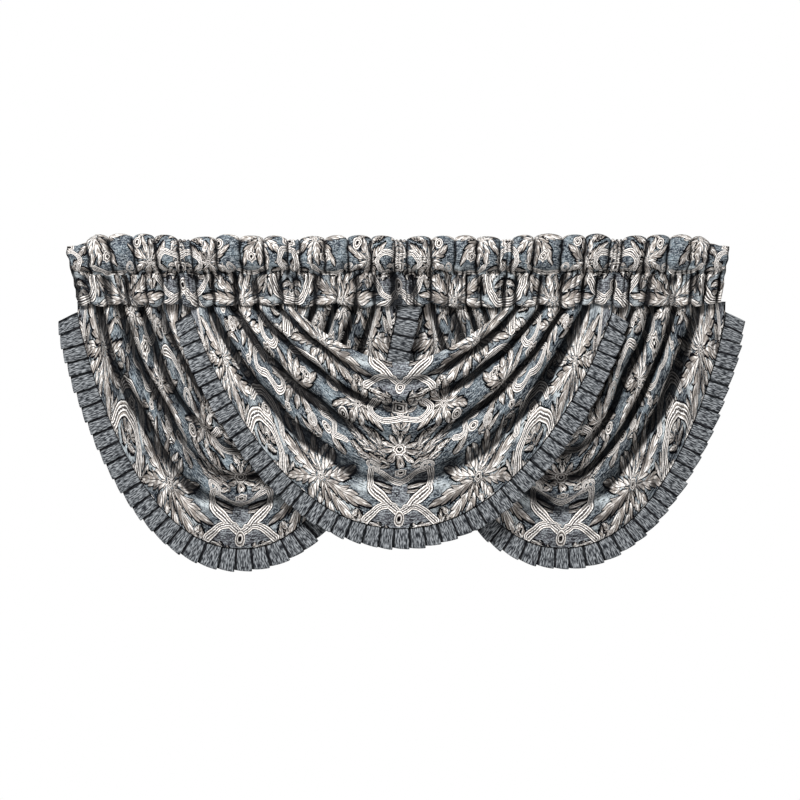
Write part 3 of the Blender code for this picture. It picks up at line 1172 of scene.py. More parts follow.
@dataclass
class Header(ClothSheet):
    """The gathered strip: a rod pocket folded over at its top, and a band down to the seam.

    Places down the strip are counted in stations of its section, from 0 at the back hem. The fields named
    after rows are such places, or lengths of that kind.
    """

    gather_columns: int = 20
    station_rows: int = 3
    sink_above_z: float = -0.050
    seam_narrowing: float = 0.035
    fullness_ratio: float = 1.45
    # Painted shade over the whole band
    band_painted_shade: float = 0.22
    band_rows: float = 2.0
    pucker: float = 0.0044
    pucker_rows: tuple[float, float] = (1.7, 4.6)
    back_tucks: float = 0.0030
    back_end_row: float = 7.0
    back_hem_share: float = 0.15
    stitch_waver: float = 0.0022
    hem_row: float = 18.0
    hem_waver: float = 0.0030
    front_row: float = 8.0
    pocket_rows: tuple[float, float] = (8.5, 15.5)
    crumple: float = 0.0010
    pocket_crumple: float = 0.0012
    sway: float = 0.0012
    band_sway: float = 0.0050
    tuck_spacing: float = 0.0135
    tuck_height: tuple[float, float] = (0.75, 0.35)
    blend_rows: float = 1.5
    # Painted shade in the band's grooves, darkest and fading, and at the stitch's tucks
    groove_painted_shade: tuple[float, float] = (1.25, 2.2)
    stitch_painted_shade: float = 0.85
    outer_profile: float = 0.35
    fold_height: tuple[float, float] = (0.72, 0.28)

    def build(self) -> bpy.types.Object:
        """Builds the header.

        Returns:
            The header's sheet.
        """
        x, full, sunk, share = self.columns()
        steps, section = self.section()
        from_stitch = steps - STITCH_STATION
        band = smooth(from_stitch / self.band_rows)[:, None]
        bands, fine = self.band_profile(x), self.stitch_gathers(x)
        above, below = self.pucker_rows
        at_stitch = np.exp(-((from_stitch / np.where(from_stitch > 0.0, below, above)) ** 2))[:, None]
        profile = full[None, :] * (1.0 - band) + bands[None, :] * band

        z = section[:, 3:4] + profile * (section[:, 1:2] - section[:, 3:4])
        z = z - np.maximum(0.0, 1.0 - z / self.sink_above_z) * sunk[None, :]
        near_stitch = np.exp(-((from_stitch / 2.0) ** 2))[:, None]
        z = z + near_stitch * self.stitch_waver * edge_ripple(x, 0.045, 31)
        near_hem = smooth((steps - self.hem_row) / 2.5)[:, None]
        z = z + near_hem * self.hem_waver * edge_ripple(x, 0.11, 35)

        wide = x[None, :] * (1.0 - self.seam_narrowing * (z / SEAM_Z))
        forward = section[:, 2:3] + profile * (section[:, 0:1] - section[:, 2:3])
        forward = forward + at_stitch * fine[None, :] * self.pucker
        forward = forward + self.on_back(steps) * fine[None, :] * self.back_tucks
        crumple = self.crumple + self.pocket_crumple * self.on_pocket(steps)
        forward = forward + crumple * ripple(wide + 0.5 * z, z, 0.026, 0.020, 32)
        wide = wide + self.sway * ripple(wide, z, 0.060, 0.030, 33)
        wide = wide + band * from_stitch[:, None] / 6.5 * self.band_sway * edge_ripple(x, 0.10, 36)
        places = np.stack([wide, ROD_FORWARD - forward, z], axis=2)

        # Painted shade: in the grooves of the pocket and the band, at the stitch's tucks and over the band
        pocket_groove_painted_shade = np.abs(2.0 * share - 1.0)[None, :] ** 5
        darkest, fading = self.groove_painted_shade
        band_groove_painted_shade = np.clip(darkest - (bands + 0.16 * fine)[None, :] * fading, 0.0, 1.0)
        painted_shade = pocket_groove_painted_shade * (1.0 - band) + band_groove_painted_shade * band
        painted_shade = np.maximum(painted_shade, self.stitch_painted_shade * at_stitch * smooth(-0.05 - 1.2 * fine[None, :]))
        # No painted shade on the back layer, up to the rod's top
        front = smooth((steps - self.front_row) / self.blend_rows)[:, None]
        painted_shade = np.maximum(painted_shade, self.band_painted_shade * band) * front
        return self.lay(places, self.flat(x, section), painted_shade)

    def section(self) -> tuple[Grid, Grid]:
        """The strip's section.

        Returns:
            Where each row is, in stations, and its crest's and groove's distance forward and height.
        """
        stations = np.array([astuple(station) for station in HEADER_SECTION])
        last = len(stations) - 1
        steps = np.linspace(0.0, float(last), last * self.station_rows + 1)
        return steps, catmull_rom(np.arange(len(stations), dtype=float), stations, steps)

    def flat(self, x: Grid, section: Grid) -> Grid:
        """Where each point was on the flat strip."""
        lengths = np.hypot(np.diff(section[:, 0]), np.diff(section[:, 1]))
        along = np.concatenate([[0.0], np.cumsum(lengths)])
        return np.stack(np.meshgrid(x * self.fullness_ratio, along), axis=2)

    def on_back(self, steps: Grid) -> Grid:
        """How strong the back layer's tucks are in each row, less at its hem."""
        off_hem = smooth((steps - 1.0) / self.blend_rows)[:, None]
        share = self.back_hem_share + (1.0 - self.back_hem_share) * off_hem
        return smooth((self.back_end_row - steps) / 2.0)[:, None] * share

    def on_pocket(self, steps: Grid) -> Grid:
        """How much each row belongs to the pocket's front, from 0 to 1."""
        first, last = self.pocket_rows
        blend = self.blend_rows
        return smooth((steps - first) / blend)[:, None] * smooth((last - steps) / blend)[:, None]

    def columns(self) -> tuple[Grid, Grid, Grid, Grid]:
        """The header's columns from left to right.

        Returns:
            Where each column is, how full it stands, how far its top has sunk, and its share of its gather.
        """
        edge = -sum(gather.width for gather in GATHERS) / 2.0
        columns = []
        following = GATHERS[1:] + GATHERS[-1:]
        before = GATHERS[:1] + GATHERS[:-1]
        for gather, left, right in zip(GATHERS, before, following):
            for share in np.arange(self.gather_columns) / self.gather_columns:
                bulge = max(0.0, 1.0 - abs(2.0 * share - 1.0) ** 2.4) ** 0.62
                if gather is PINCH:
                    bulge *= 1.25 - 0.75 * math.cos(3.0 * 2.0 * math.pi * share)
                lean = share - 0.5
                neighbour = left if lean < 0.0 else right
                sunk = gather.sunk + (neighbour.sunk - gather.sunk) * abs(lean)
                columns.append((edge + gather.width * share, gather.fullness * bulge, sunk, share))
            edge += gather.width
        columns.append((edge, 0.0, GATHERS[-1].sunk, 1.0))
        x, full, sunk, shares = np.array(columns).T
        return x, full, sunk, shares

    def band_profile(self, x: Grid) -> Grid:
        """How far each column of the band stands out, from 0 to 1, so its folds run on into the swags'."""
        grooves = band_grooves()
        least, more = self.fold_height
        profile = np.full(len(x), self.outer_profile)
        for left, right in zip(grooves[:-1], grooves[1:]):
            inside = (x >= left) & (x < right)
            share = (x[inside] - left) / (right - left)
            height = least + more * math.sin(211.0 * left + 3.0 * right)
            profile[inside] = height * np.maximum(0.0, 1.0 - np.abs(2.0 * share - 1.0) ** 2.0) ** 0.8
        return profile

    def stitch_gathers(self, x: Grid) -> Grid:
        """The small tucks along the stitch line, from -1 to 1."""
        spacing = x / self.tuck_spacing + 1.1 * edge_ripple(x, 0.05, 34)[0]
        mean, spread = self.tuck_height
        height = mean + spread * edge_ripple(x, 0.028, 37)[0]
        return np.clip(np.sin(2.0 * math.pi * spacing) * height, -1.0, 1.0)


def edge_ripple(x: Grid, length: float, seed: int) -> Grid:
    """Smooth uneven waves along an edge, as one row."""
    return ripple(x, np.zeros(len(x)), length, 1.0, seed)[None, :]


def catmull_rom(knots: Grid, values: Grid, at: Grid) -> Grid:
    """A smooth curve through rows of values.

    Args:
        knots: Whole numbers from 0, one for each row.
        values: The rows that the curve passes through.
        at: Where on the curve, in knots.

    Returns:
        One row of values for each of at.
    """
    last = len(knots) - 1
    i = np.clip(np.floor(at).astype(int), 0, last - 1)
    t = (at - i)[:, None]
    before, start = values[np.clip(i - 1, 0, last)], values[i]
    end, after = values[i + 1], values[np.clip(i + 2, 0, last)]
    rise = 0.5 * (end - before)
    fall = 0.5 * (after - start)
    square, cube = t * t, t * t * t
    return (
        start * (2.0 * cube - 3.0 * square + 1.0)
        + rise * (cube - 2.0 * square + t)
        + end * (3.0 * square - 2.0 * cube)
        + fall * (cube - square)
    )


class Fold(Enum):
    """What a fold line is."""

    LIP = "lip"
    RIDGE = "ridge"
    VALLEY = "valley"
    PANEL = "panel"
    HEM = "hem"


@dataclass
class Line:
    """One fold line of a swag, from gathered end to gathered end.

    left and right are how far from the swag's middle it starts at the seam, drop is how far below the seam
    it hangs at the middle, bow and square shape the curve between, and forward is how far it stands out at
    its left end, left arm, middle, right arm and right end.
    """

    fold: Fold
    left: float
    right: float
    drop: float
    bow: float
    square: float
    forward: tuple[float, float, float, float, float]


# How far forward each kind of line lies
MIDDLE_RIDGE = (0.023, 0.060, 0.066, 0.060, 0.023)
MIDDLE_VALLEY = (0.004, 0.034, 0.050, 0.034, 0.004)
LEFT_RIDGE = (0.020, 0.030, 0.030, 0.029, 0.020)
LEFT_VALLEY = (0.002, 0.001, 0.010, 0.003, 0.002)
RIGHT_RIDGE = (0.020, 0.029, 0.030, 0.030, 0.020)
RIGHT_VALLEY = (0.001, 0.001, 0.010, 0.001, 0.002)

MIDDLE_LINES = (
    Line(Fold.LIP, 0.195, 0.190, 0.101, 1.75, 1.00, (0.012, 0.040, 0.052, 0.040, 0.012)),
    Line(Fold.RIDGE, 0.205, 0.199, 0.119, 1.75, 1.00, (0.020, 0.050, 0.060, 0.050, 0.020)),
    Line(Fold.VALLEY, 0.221, 0.214, 0.138, 1.80, 1.00, MIDDLE_VALLEY),
    Line(Fold.RIDGE, 0.243, 0.236, 0.158, 1.80, 1.00, MIDDLE_RIDGE),
    Line(Fold.VALLEY, 0.262, 0.258, 0.182, 1.85, 1.00, MIDDLE_VALLEY),
    Line(Fold.RIDGE, 0.280, 0.278, 0.212, 1.85, 1.00, MIDDLE_RIDGE),
    Line(Fold.VALLEY, 0.301, 0.297, 0.241, 1.90, 1.00, MIDDLE_VALLEY),
    Line(Fold.RIDGE, 0.324, 0.315, 0.274, 1.90, 1.00, MIDDLE_RIDGE),
    Line(Fold.VALLEY, 0.342, 0.335, 0.304, 2.00, 1.02, MIDDLE_VALLEY),
    Line(Fold.PANEL, 0.359, 0.358, 0.352, 2.05, 1.08, (0.022, 0.047, 0.052, 0.047, 0.022)),
    Line(Fold.HEM, 0.375, 0.380, 0.395, 2.10, 1.15, (0.020, 0.0395, 0.041, 0.0400, 0.020)),
)
LEFT_LINES = (
    Line(Fold.LIP, 0.085, 0.080, 0.150, 1.90, 1.00, (0.002, 0.004, 0.016, 0.010, 0.004)),
    Line(Fold.RIDGE, 0.132, 0.115, 0.177, 1.90, 1.00, (0.006, 0.014, 0.028, 0.026, 0.014)),
    Line(Fold.VALLEY, 0.147, 0.133, 0.204, 1.95, 1.00, (0.001, 0.001, 0.012, 0.003, 0.002)),
    Line(Fold.RIDGE, 0.163, 0.151, 0.239, 1.95, 1.00, LEFT_RIDGE),
    Line(Fold.VALLEY, 0.181, 0.169, 0.260, 2.00, 1.02, LEFT_VALLEY),
    Line(Fold.RIDGE, 0.198, 0.186, 0.289, 2.00, 1.04, LEFT_RIDGE),
    Line(Fold.VALLEY, 0.217, 0.205, 0.313, 2.00, 1.06, LEFT_VALLEY),
    Line(Fold.RIDGE, 0.235, 0.222, 0.338, 2.00, 1.08, LEFT_RIDGE),
    Line(Fold.VALLEY, 0.256, 0.238, 0.361, 2.10, 1.12, LEFT_VALLEY),
    Line(Fold.PANEL, 0.273, 0.251, 0.400, 2.15, 1.18, (0.017, 0.019, 0.020, 0.016, 0.014)),
    Line(Fold.HEM, 0.293, 0.278, 0.432, 2.20, 1.25, (0.013, 0.010, 0.012, 0.012, 0.012)),
)
RIGHT_LINES = (
    Line(Fold.LIP, 0.095, 0.080, 0.150, 1.90, 1.00, (0.004, 0.010, 0.016, 0.004, 0.002)),
    Line(Fold.RIDGE, 0.129, 0.115, 0.175, 1.90, 1.00, (0.014, 0.026, 0.028, 0.014, 0.006)),
    Line(Fold.VALLEY, 0.142, 0.130, 0.200, 1.95, 1.00, (0.002, 0.003, 0.012, 0.001, 0.001)),
    Line(Fold.RIDGE, 0.154, 0.145, 0.232, 1.95, 1.00, RIGHT_RIDGE),
    Line(Fold.VALLEY, 0.167, 0.166, 0.256, 2.00, 1.02, RIGHT_VALLEY),
    Line(Fold.RIDGE, 0.179, 0.186, 0.283, 2.00, 1.04, RIGHT_RIDGE),
    Line(Fold.VALLEY, 0.199, 0.204, 0.306, 2.00, 1.06, RIGHT_VALLEY),
    Line(Fold.RIDGE, 0.218, 0.221, 0.330, 2.00, 1.08, RIGHT_RIDGE),
    Line(Fold.VALLEY, 0.232, 0.245, 0.354, 2.10, 1.12, RIGHT_VALLEY),
    Line(Fold.PANEL, 0.244, 0.272, 0.397, 2.15, 1.21, (-0.005, 0.003, 0.020, 0.019, 0.017)),
    Line(Fold.HEM, 0.280, 0.293, 0.431, 2.20, 1.31, (-0.010, -0.004, 0.012, 0.010, 0.013)),
)


@dataclass
class Swag(ClothSheet):
    """One draped swag, hanging in curved folds between its two gathered ends."""

    middle_x: float = 0.0
    lines: tuple[Line, ...] = ()
    seed: int = 0
    columns: int = 300
    line_rows: int = 15
    curve_samples: int = 481
    arm: float = 0.70
    seam_reach: float = 0.030
    tuck_up: float = 0.008
    # The shade painted over the whole swag, for the side swags that hang behind the middle one
    shade: float = 0.0
    tuck_forward: float = 0.0062
    hem_tucks: tuple[float, float] = (0.0062, 0.0062)
    under_seam: float = 0.0010
    wander: float = 0.22
    crease: float = 0.0011
    drag: float = 0.0009
    middle_sharpness: float = 0.35
    # How strong the painted shade in the valleys is in the middle and on the arms, and how much it varies
    painted_shade_strength: tuple[float, float, float] = (0.56, 0.44, 0.22)
    hem_points: Grid = field(default_factory=lambda: np.zeros((0, 3)))

    def build(self) -> bpy.types.Object:
        """Builds the swag, and keeps its hem for the ruffle.

        Returns:
            The swag's sheet.
        """
        at = np.linspace(-1.0, 1.0, self.columns + 1)
        steps = np.linspace(0.0, len(self.lines) - 1.0, (len(self.lines) - 1) * self.line_rows + 1)
        table = np.array([(line.left, line.right, line.drop, line.bow, line.square) for line in self.lines])
        shaped = catmull_rom(np.arange(len(table), dtype=float), table, steps)
        curves = [hanging_curve(row, at, self.curve_samples) for row in shaped]
        x = np.array([curve[0] for curve in curves])
        z = np.array([curve[1] for curve in curves])
        shift = self.meander(steps, at)
        moved = np.clip(steps[:, None] + shift, 0.0, len(self.lines) - 1.0)
        forward, painted_shade = self.folds(moved, at)
        u = arc_from_middle(x, z)
        centre = len(at) // 2
        rise = np.hypot(np.diff(z[:, centre]), np.diff(forward[:, centre]))
        v = np.concatenate([[0.0], np.cumsum(rise)])
        v = np.broadcast_to((v[-1] - v)[:, None], u.shape)
        forward = forward + self.creases(u, v, at)
        forward, lift = self.seam_tuck(forward, at, steps / steps[-1])
        hung_z = SEAM_Z - self.under_seam + z + lift
        places = np.stack([self.middle_x + x, ROD_FORWARD - forward, hung_z], axis=2)
        self.hem_points = places[-1].copy()
        LOG.info("%s: cloth %.3f to %.3f along, %.3f across", self.name, u.min(), u.max(), v.max())
        return self.lay(places, np.stack([u, v], axis=2), painted_shade)

    def meander(self, steps: Grid, at: Grid) -> Grid:
        """How far the fold lines wander up and down, in lines."""
        last = len(self.lines) - 1.0
        held = smooth(steps / 1.5) * smooth((last - steps) / 1.5)
        sway = ripple(at[None, :], steps[:, None] / 10.0, 0.9, 0.5, self.seed + 1)
        return self.wander * held[:, None] * sway * (1.0 - at[None, :] ** 6)

    def folds(self, steps: Grid, at: Grid) -> tuple[Grid, Grid]:
        """How far forward the cloth stands, and the shade painted into its colour, deepest in a valley.

        Args:
            steps: Where each point is between the fold lines, rows by columns.
            at: Where each column is, from -1 at the left end to 1 at the right end.

        Returns:
            The distance forward and the shade painted into the colour, rows by columns.
        """
        depths = np.array([along_line(line.forward, at, self.arm) for line in self.lines])
        index = np.clip(np.floor(steps).astype(int), 0, len(self.lines) - 2)
        share = steps - index
        column = np.arange(len(at))[None, :]
        above, below = depths[index, column], depths[index + 1, column]
        arms = smooth((np.abs(at) - 0.10) / 0.45)[None, :]
        ridges = np.array([line.fold is Fold.RIDGE for line in self.lines])
        valleys = np.array([line.fold is Fold.VALLEY for line in self.lines])
        from_ridge, from_valley, into_valley = ridges[index], valleys[index], valleys[index + 1]
        soft = smooth(share)
        to_go = 1.0 - share
        fall = 0.20 * (share / 0.45).clip(0.0, 1.0) ** 2 + 0.80 * smooth((share - 0.34) / 0.40)
        climb = 1.0 - 0.20 * (to_go / 0.48).clip(0.0, 1.0) ** 2 - 0.80 * smooth((0.62 - share) / 0.44)
        sharp = np.where(from_ridge, fall, np.where(from_valley, climb, soft))
        mixed = soft + (sharp - soft) * (self.middle_sharpness + (1.0 - self.middle_sharpness) * arms)
        forward = above + (below - above) * mixed
        # Painted shade: dark deep in each valley, stronger on the arms, and never below the swag's own shade
        deep = np.where(into_valley, smooth((share - 0.45) / 0.22), 0.0)
        deep = np.where(from_valley, 1.0 - smooth((share - 0.08) / 0.40), deep)
        uneven = ripple(at[None, :], steps, 0.8, 3.0, self.seed + 4)
        middle, on_arms, varying = self.painted_shade_strength
        strength = middle + on_arms * arms + varying * uneven
        return forward, np.clip(np.maximum(deep * strength, self.shade), 0.0, 1.0)

    def creases(self, u: Grid, v: Grid, at: Grid) -> Grid:
        """The small creases that run along the folds, as a distance forward."""
        held = 1.0 - np.abs(at[None, :]) ** 8
        long_creases = self.crease * ripple(u, v, 0.20, 0.022, self.seed + 2)
        drag = self.drag * ripple(u + 1.4 * v, v, 0.16, 0.034, self.seed + 3)
        return held * (long_creases + drag)

    def seam_tuck(self, forward: Grid, at: Grid, down: Grid) -> tuple[Grid, Grid]:
        """Tucks both gathered ends up behind the header's band.

        Args:
            forward: How far forward the folds stand.
            at: Where each column is.
            down: Where each row is, from 0 at the top edge to 1 at the hem.

        Returns:
            The distance forward with the ends tucked in, and how far each point is lifted.
        """
        tucked = smooth((np.abs(at) - (1.0 - self.seam_reach)) / self.seam_reach)[None, :]
        lift = self.tuck_up * tucked**2
        at_hem = np.where(at < 0.0, self.hem_tucks[0], self.hem_tucks[1])[None, :]
        seam = self.tuck_forward + (at_hem - self.tuck_forward) * down[:, None]
        forward = forward + (seam - forward) * tucked
        return forward, lift


def hanging_curve(row: Grid, at: Grid, samples: int) -> tuple[Grid, Grid]:
    """A fold line's curve.

    Args:
        row: How far its left and right ends are from the middle, its drop, its bow and its square.
        at: Shares of its length from -1, the left end, to 1, the right end.
        samples: How finely the curve is measured.

    Returns:
        The distance from the middle and the height over the seam, for each of at.
    """
    left, right, drop, bow, square = row
    turn = np.linspace(-math.pi / 2, math.pi / 2, samples)
    across = np.sin(turn)
    x = np.where(across < 0.0, across * left, across * right)
    z = -drop * np.clip(1.0 - np.abs(across) ** bow, 0.0, 1.0) ** (1.0 / square)
    half = samples // 2
    along = np.concatenate([[0.0], np.cumsum(np.hypot(np.diff(x), np.diff(z)))])
    lower, upper = along[half], along[-1] - along[half]
    share = np.where(turn < 0.0, (along - lower) / lower, (along - lower) / upper)
    return np.interp(at, share, x), np.interp(at, share, z)


def along_line(forward: tuple[float, ...], at: Grid, arm: float) -> Grid:
    """How far forward a fold line lies, at shares of its length from -1 to 1."""
    left_end, left, middle, right, right_end = forward
    found = np.where(
        at < 0.0,
        middle + (left - middle) * smooth(-at / arm),
        middle + (right - middle) * smooth(at / arm),
    )
    beyond = smooth((np.abs(at) - arm) / (1.0 - arm)) ** 1.5
    ends = np.where(at < 0.0, left_end, right_end)
    return found + (ends - found) * beyond


def arc_from_middle(x: Grid, z: Grid) -> Grid:
    """How far each point is along its row from the middle column, with its sign."""
    length = np.hypot(np.diff(x, axis=1), np.diff(z, axis=1))
    along = np.concatenate([np.zeros((len(x), 1)), np.cumsum(length, axis=1)], axis=1)
    middle = x.shape[1] // 2
    return along - along[:, middle : middle + 1]


LEFT_MIDDLE_X = -0.280
MIDDLE_X = 0.0035
RIGHT_MIDDLE_X = 0.292
# The stretches of the band, each with the swag whose folds it runs on into
BAND_STRETCHES = (
    (LEFT_MIDDLE_X, LEFT_LINES, -0.62, -0.375),
    (MIDDLE_X, MIDDLE_LINES, -0.375, -0.190),
    (LEFT_MIDDLE_X, LEFT_LINES, -0.185, -0.012),
    (RIGHT_MIDDLE_X, RIGHT_LINES, 0.012, 0.185),
    (MIDDLE_X, MIDDLE_LINES, 0.190, 0.375),
    (RIGHT_MIDDLE_X, RIGHT_LINES, 0.375, 0.62),
)
GROOVE_LEAST = 0.013
GROOVE_SPACING = 0.031


def band_grooves() -> list[float]:
    """Where the band's grooves are: over the valleys of the swags below, and evenly in between."""
    grooves = set()
    for middle, lines, low, high in BAND_STRETCHES:
        for line in lines:
            if line.fold in (Fold.VALLEY, Fold.LIP, Fold.HEM):
                ends = (middle - line.left, middle + line.right)
                grooves.update(round(x, 4) for x in ends if low < x < high)
    kept = []
    for x in sorted(grooves):
        if not kept or x - kept[-1] > GROOVE_LEAST:
            kept.append(x)
    full = kept[:1]
    for left, right in zip(kept[:-1], kept[1:]):
        parts = max(1, round((right - left) / GROOVE_SPACING))
        full += [left + (right - left) * (i + 1) / parts for i in range(parts)]
    return full


@dataclass
class Ruffle(ClothSheet):
    """A long strip laid in knife pleats and sewn to a swag's hem."""

    slot: str = "grey_chenille"
    swag: Swag | None = None
    seed: int = 0
    width: float = 0.036
    pitch: float = 0.0255
    under: float = 0.0070
    rows: int = 12
    tuck: float = 0.0030
    slants: tuple[float, float] = (0.36, 0.36)
    starts_z: tuple[float, float] = (-0.136, -0.136)
    uneven_pitch: float = 0.10
    uneven_trim: tuple[float, float] = (-0.0010, 0.0012)
    slanted_trim: float = 0.0042
    slant_length: float = 0.07
    calm_length: float = 0.05
    calm: float = 0.35
    pleat_rise: tuple[float, float] = (0.0036, 0.0016)
    sewn_back: float = 0.0066
    outer_lift: float = 0.0030
    # Painted shade along the swag's hem
    hem_painted_shade: float = 0.75

    # Along one pleat: its place as shares of the pitch and of the part folded under, its rise, and the shade
    # painted where it turns under its neighbours
    PLEAT = (
        (0.00, -1.00, 0.10, 1.00),
        (0.00, -0.35, 0.20, 1.00),
        (0.02, 0.00, 0.26, 1.00),
        (0.12, 0.00, 0.38, 1.00),
        (0.22, 0.00, 0.50, 0.10),
        (0.40, 0.00, 0.66, 0.00),
        (0.60, 0.00, 0.80, 0.00),
        (0.80, 0.00, 0.92, 0.00),
        (0.94, 0.00, 1.00, 0.00),
        (1.00, 0.00, 0.98, 0.10),
        (1.01, 0.00, 0.80, 0.80),
        (0.99, 0.00, 0.62, 1.00),
        (1.00, -0.50, 0.52, 1.00),
        (1.00, -0.95, 0.42, 1.00),
    )

    def build(self) -> bpy.types.Object:
        """Builds the ruffle along its swag's hem.

        Returns:
            The ruffle's sheet.
        """
        hem = self.sewn_stretch()
        along = np.concatenate([[0.0], np.cumsum(np.linalg.norm(np.diff(hem, axis=0), axis=1))])
        count = round(along[-1] / self.pitch)
        pitch = along[-1] / count
        draw = np.random.default_rng(self.seed)
        bounds = np.arange(count + 1, dtype=float)
        bounds[1:-1] += draw.uniform(-self.uneven_pitch, self.uneven_pitch, count - 1)
        face, back, rise, shade = self.pleats(bounds * pitch)
        trim = np.repeat(draw.uniform(*self.uneven_trim, count), len(self.PLEAT))
        slant = (rise - 0.6) * self.slanted_trim
        share = np.linspace(0.0, 1.0, self.rows + 1)[:, None]
        length = -self.tuck + (self.width + self.tuck + trim + slant)[None, :] * share

        tangent = np.gradient(hem, axis=0)
        turning = np.ptp(np.unwrap(np.arctan2(tangent[:, 2], tangent[:, 0])))
        fan = turning / along[-1] * length
        tucked = (self.under - 0.5 * pitch * fan) / (1.0 + fan)
        reach = np.clip(face[None, :] + back[None, :] * tucked, 0.0, along[-1])
        to_end = along[-1] - reach
        calm = (1.0 - self.calm) * smooth(reach / self.calm_length) * smooth(to_end / self.calm_length)
        calm = self.calm + calm
        open_up = self.pleat_rise[0] + self.pleat_rise[1] * share
        sunk = -self.sewn_back * (1.0 - smooth((share - 0.07) / 0.26)) + self.outer_lift * share * calm
        lift = rise[None, :] * open_up * calm + sunk
        lift = lift + share * 0.0008 * ripple(reach, length, 0.03, 0.05, self.seed + 5)

        base = np.stack([np.interp(reach, along, hem[:, axis]) for axis in range(3)], axis=2)
        places = base + self.away(tangent, along, reach) * length[:, :, None]
        places[:, :, 1] -= lift
        at_hem = int(np.argmin(np.abs(length[:, 0])))
        flat_u = np.concatenate([[0.0], np.cumsum(np.hypot(np.diff(reach[at_hem]), np.diff(lift[at_hem])))])
        flat = np.stack([np.broadcast_to(flat_u[None, :], length.shape), length], axis=2)
        # Painted shade: where each pleat turns under the next, and in a strip along the swag's hem
        near_hem = 1.0 - smooth((length - 0.0005) / 0.003)
        painted_shade = np.maximum(shade[None, :], self.hem_painted_shade * near_hem)
        LOG.info("%s: %d pleats", self.name, count)
        return self.lay(places, flat, painted_shade)

    def sewn_stretch(self) -> Grid:
        """The part of the swag's hem below the places where the ruffle starts and ends."""
        hem = self.swag.hem_points
        middle = len(hem) // 2
        first = np.flatnonzero(hem[:middle, 2] < self.starts_z[0])[0]
        last = middle + np.flatnonzero(hem[middle:, 2] < self.starts_z[1])[-1]
        return hem[first : last + 1]

    def pleats(self, bounds: Grid) -> tuple[Grid, Grid, Grid, Grid]:
        """The pleats' columns.

        Args:
            bounds: Where each pleat starts along the hem, and where the last one ends.

        Returns:
            Each column's place along the hem, its share of the part folded under, its rise and the shade
            painted into its colour.
        """
        place, back, rise, shade = np.array(self.PLEAT).T
        starts, widths = bounds[:-1, None], np.diff(bounds)[:, None]
        count = len(widths)
        face = (starts + place[None, :] * widths).reshape(-1)
        return face, np.tile(back, count), np.tile(rise, count), np.tile(shade, count)

    def away(self, tangent: Grid, along: Grid, reach: Grid) -> Grid:
        """The way that the ruffle points from the hem, drooping near its two ends.

        Args:
            tangent: The hem's direction at each of its points.
            along: How far along the hem each of them is.
            reach: How far along the hem each point of the ruffle is.

        Returns:
            A direction for each point of the ruffle.
        """
        away = np.stack([tangent[:, 2], np.zeros(len(tangent)), -tangent[:, 0]], axis=1)
        away /= np.linalg.norm(away, axis=1)[:, None]
        away = np.stack([np.interp(reach, along, away[:, axis]) for axis in range(3)], axis=2)
        away[:, :, 2] -= self.slants[0] * (1.0 - smooth(reach / self.slant_length))
        away[:, :, 2] -= self.slants[1] * (1.0 - smooth((along[-1] - reach) / self.slant_length))
        return away / np.linalg.norm(away, axis=2)[:, :, None]


@dataclass(frozen=True)
class Lamp:
    """A soft square lamp: where it hangs, the side of its face, and its power in watts."""

    name: str
    place: tuple[float, float, float]
    size: float
    power: float


@dataclass
class Studio:
    """The floor, the lights and the camera."""

    floor_z: float = -1.45
    floor_size: float = 5.0
    floor_colour: tuple[float, float, float] = (0.82, 0.82, 0.82)
    camera_place: tuple[float, float, float] = (MIDDLE_X, -5.03, -0.2957)
    lens: float = 127.0
    room_light: float = 0.36
    lamps: tuple[Lamp, ...] = (
        Lamp("key", (-1.1, -2.2, 1.9), 1.1, 172.0),
        Lamp("fill", (1.8, -2.8, 0.5), 1.8, 22.0),
    )

    def build(self) -> None:
        """Sets up the floor, the lights and the camera."""
        self.floor()
        self.world()
        for lamp in self.lamps:
            self.light(lamp)
        self.camera()

    def floor(self) -> None:
        """Adds the plain pale floor."""
        bpy.ops.object.select_all(action="DESELECT")
        bpy.ops.mesh.primitive_plane_add(size=self.floor_size, location=(0.0, 0.0, 0.0))
        floor = bpy.context.active_object
        floor.name = "floor"
        for vert in floor.data.vertices:
            vert.co.z = self.floor_z
        floor.data.materials.append(plain_material("floor paint", self.floor_colour, 0.6))

    def world(self) -> None:
        """Sets the white surroundings, which light the cloth less than the camera sees them."""
        world = bpy.data.worlds.new("studio")
        world.use_nodes = True
        shade = world.node_tree.nodes["Background"]
        shade.inputs["Color"].default_value = (1.0, 1.0, 1.0, 1.0)
        path = world.node_tree.nodes.new("ShaderNodeLightPath")
        level = world.node_tree.nodes.new("ShaderNodeMapRange")
        level.inputs["To Min"].default_value = self.room_light
        level.inputs["To Max"].default_value = 1.0
        world.node_tree.links.new(path.outputs["Is Camera Ray"], level.inputs["Value"])
        world.node_tree.links.new(level.outputs["Result"], shade.inputs["Strength"])
        bpy.context.scene.world = world
        bpy.context.scene.view_settings.view_transform = "Standard"

    def light(self, lamp: Lamp) -> None:
        """Adds a lamp that points at the valance."""
        light = bpy.data.lights.new(lamp.name, "AREA")
        light.size = lamp.size
        light.energy = lamp.power
        holder = bpy.data.objects.new(lamp.name, light)
        bpy.context.scene.collection.objects.link(holder)
        holder.location = lamp.place
        aim = np.array([0.0, 0.0, self.camera_place[2]]) - np.array(lamp.place)
        flat = math.hypot(aim[0], aim[1])
        holder.rotation_euler = (math.atan2(flat, -aim[2]), 0.0, math.atan2(-aim[0], aim[1]))

    def camera(self) -> None:
        """Adds the camera, straight in front."""
        lens = bpy.data.cameras.new("camera")
        lens.lens = self.lens
        lens.sensor_width = 36.0
        holder = bpy.data.objects.new("camera", lens)
        bpy.context.scene.collection.objects.link(holder)
        holder.location = self.camera_place
        holder.rotation_euler = (math.pi / 2, 0.0, 0.0)
        bpy.context.scene.camera = holder


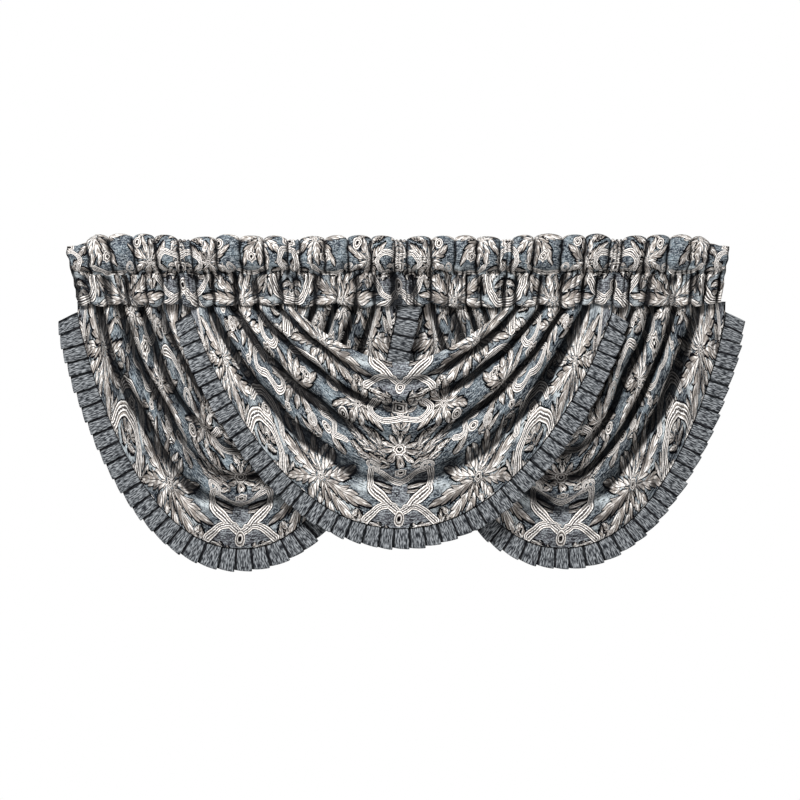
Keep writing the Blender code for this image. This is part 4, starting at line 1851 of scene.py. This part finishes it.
def plain_material(name: str, colour: tuple[float, float, float], roughness: float) -> bpy.types.Material:
    """A plain painted surface."""
    material = bpy.data.materials.new(name)
    material.use_nodes = True
    shader = material.node_tree.nodes["Principled BSDF"]
    shader.inputs["Base Color"].default_value = (*colour, 1.0)
    shader.inputs["Roughness"].default_value = roughness
    return material


@dataclass(frozen=True)
class SwagCut:
    """What makes one swag and its ruffle differ from the others.

    slants, starts_z and hem_tucks each hold the left end's value and the right end's. seed picks the small
    unevenness, shade is the shade painted over the whole swag, starts_z is where the ruffle starts and ends,
    and the two tucks are how far forward the gathered ends lie at the top edge and at the hem.
    """

    side: str
    middle_x: float
    lines: tuple[Line, ...]
    seed: int
    shade: float
    slants: tuple[float, float]
    starts_z: tuple[float, float]
    tuck_forward: float
    hem_tucks: tuple[float, float]
    ruffle_width: float
    pitch: float


SWAG_CUTS = (
    SwagCut(
        side="left",
        middle_x=LEFT_MIDDLE_X,
        lines=LEFT_LINES,
        seed=100,
        shade=0.31,
        slants=(0.36, 0.0),
        starts_z=(-0.136, -0.1205),
        tuck_forward=0.0062,
        hem_tucks=(0.0062, 0.0100),
        ruffle_width=0.040,
        pitch=0.0269,
    ),
    SwagCut(
        side="right",
        middle_x=RIGHT_MIDDLE_X,
        lines=RIGHT_LINES,
        seed=200,
        shade=0.29,
        slants=(0.0, 0.36),
        starts_z=(-0.150, -0.136),
        tuck_forward=0.0062,
        hem_tucks=(0.0000, 0.0062),
        ruffle_width=0.037,
        pitch=0.0255,
    ),
    SwagCut(
        side="middle",
        middle_x=MIDDLE_X,
        lines=MIDDLE_LINES,
        seed=300,
        shade=0.0,
        slants=(0.36, 0.36),
        starts_z=(-0.136, -0.136),
        tuck_forward=0.0084,
        hem_tucks=(0.0084, 0.0084),
        ruffle_width=0.036,
        pitch=0.0255,
    ),
)


def main() -> None:
    """Builds the valance and the studio round it."""
    logging.basicConfig(level=logging.INFO, format="%(name)s: %(message)s")
    damask = Damask().build()
    chenille = Chenille().build()
    pattern = WovenPattern()
    header = Header("header_cloth", "header", pattern)
    header.dress(header.build(), damask, "gathered", [])
    for cut in SWAG_CUTS:
        swag = Swag(f"swag_{cut.side}_cloth", f"swag_{cut.side}", pattern)
        swag.middle_x, swag.lines, swag.seed, swag.shade = cut.middle_x, cut.lines, cut.seed, cut.shade
        swag.tuck_forward, swag.hem_tucks = cut.tuck_forward, cut.hem_tucks
        swag.dress(swag.build(), damask, "hung", [header.name])
        ruffle = Ruffle(f"ruffle_{cut.side}_cloth", f"ruffle_{cut.side}", swag=swag, seed=cut.seed + 50)
        ruffle.slants, ruffle.starts_z = cut.slants, cut.starts_z
        ruffle.width, ruffle.pitch = cut.ruffle_width, cut.pitch
        ruffle.dress(ruffle.build(), chenille, "gathered", [swag.name])
    Studio().build()


if __name__ == "__main__":
    main()
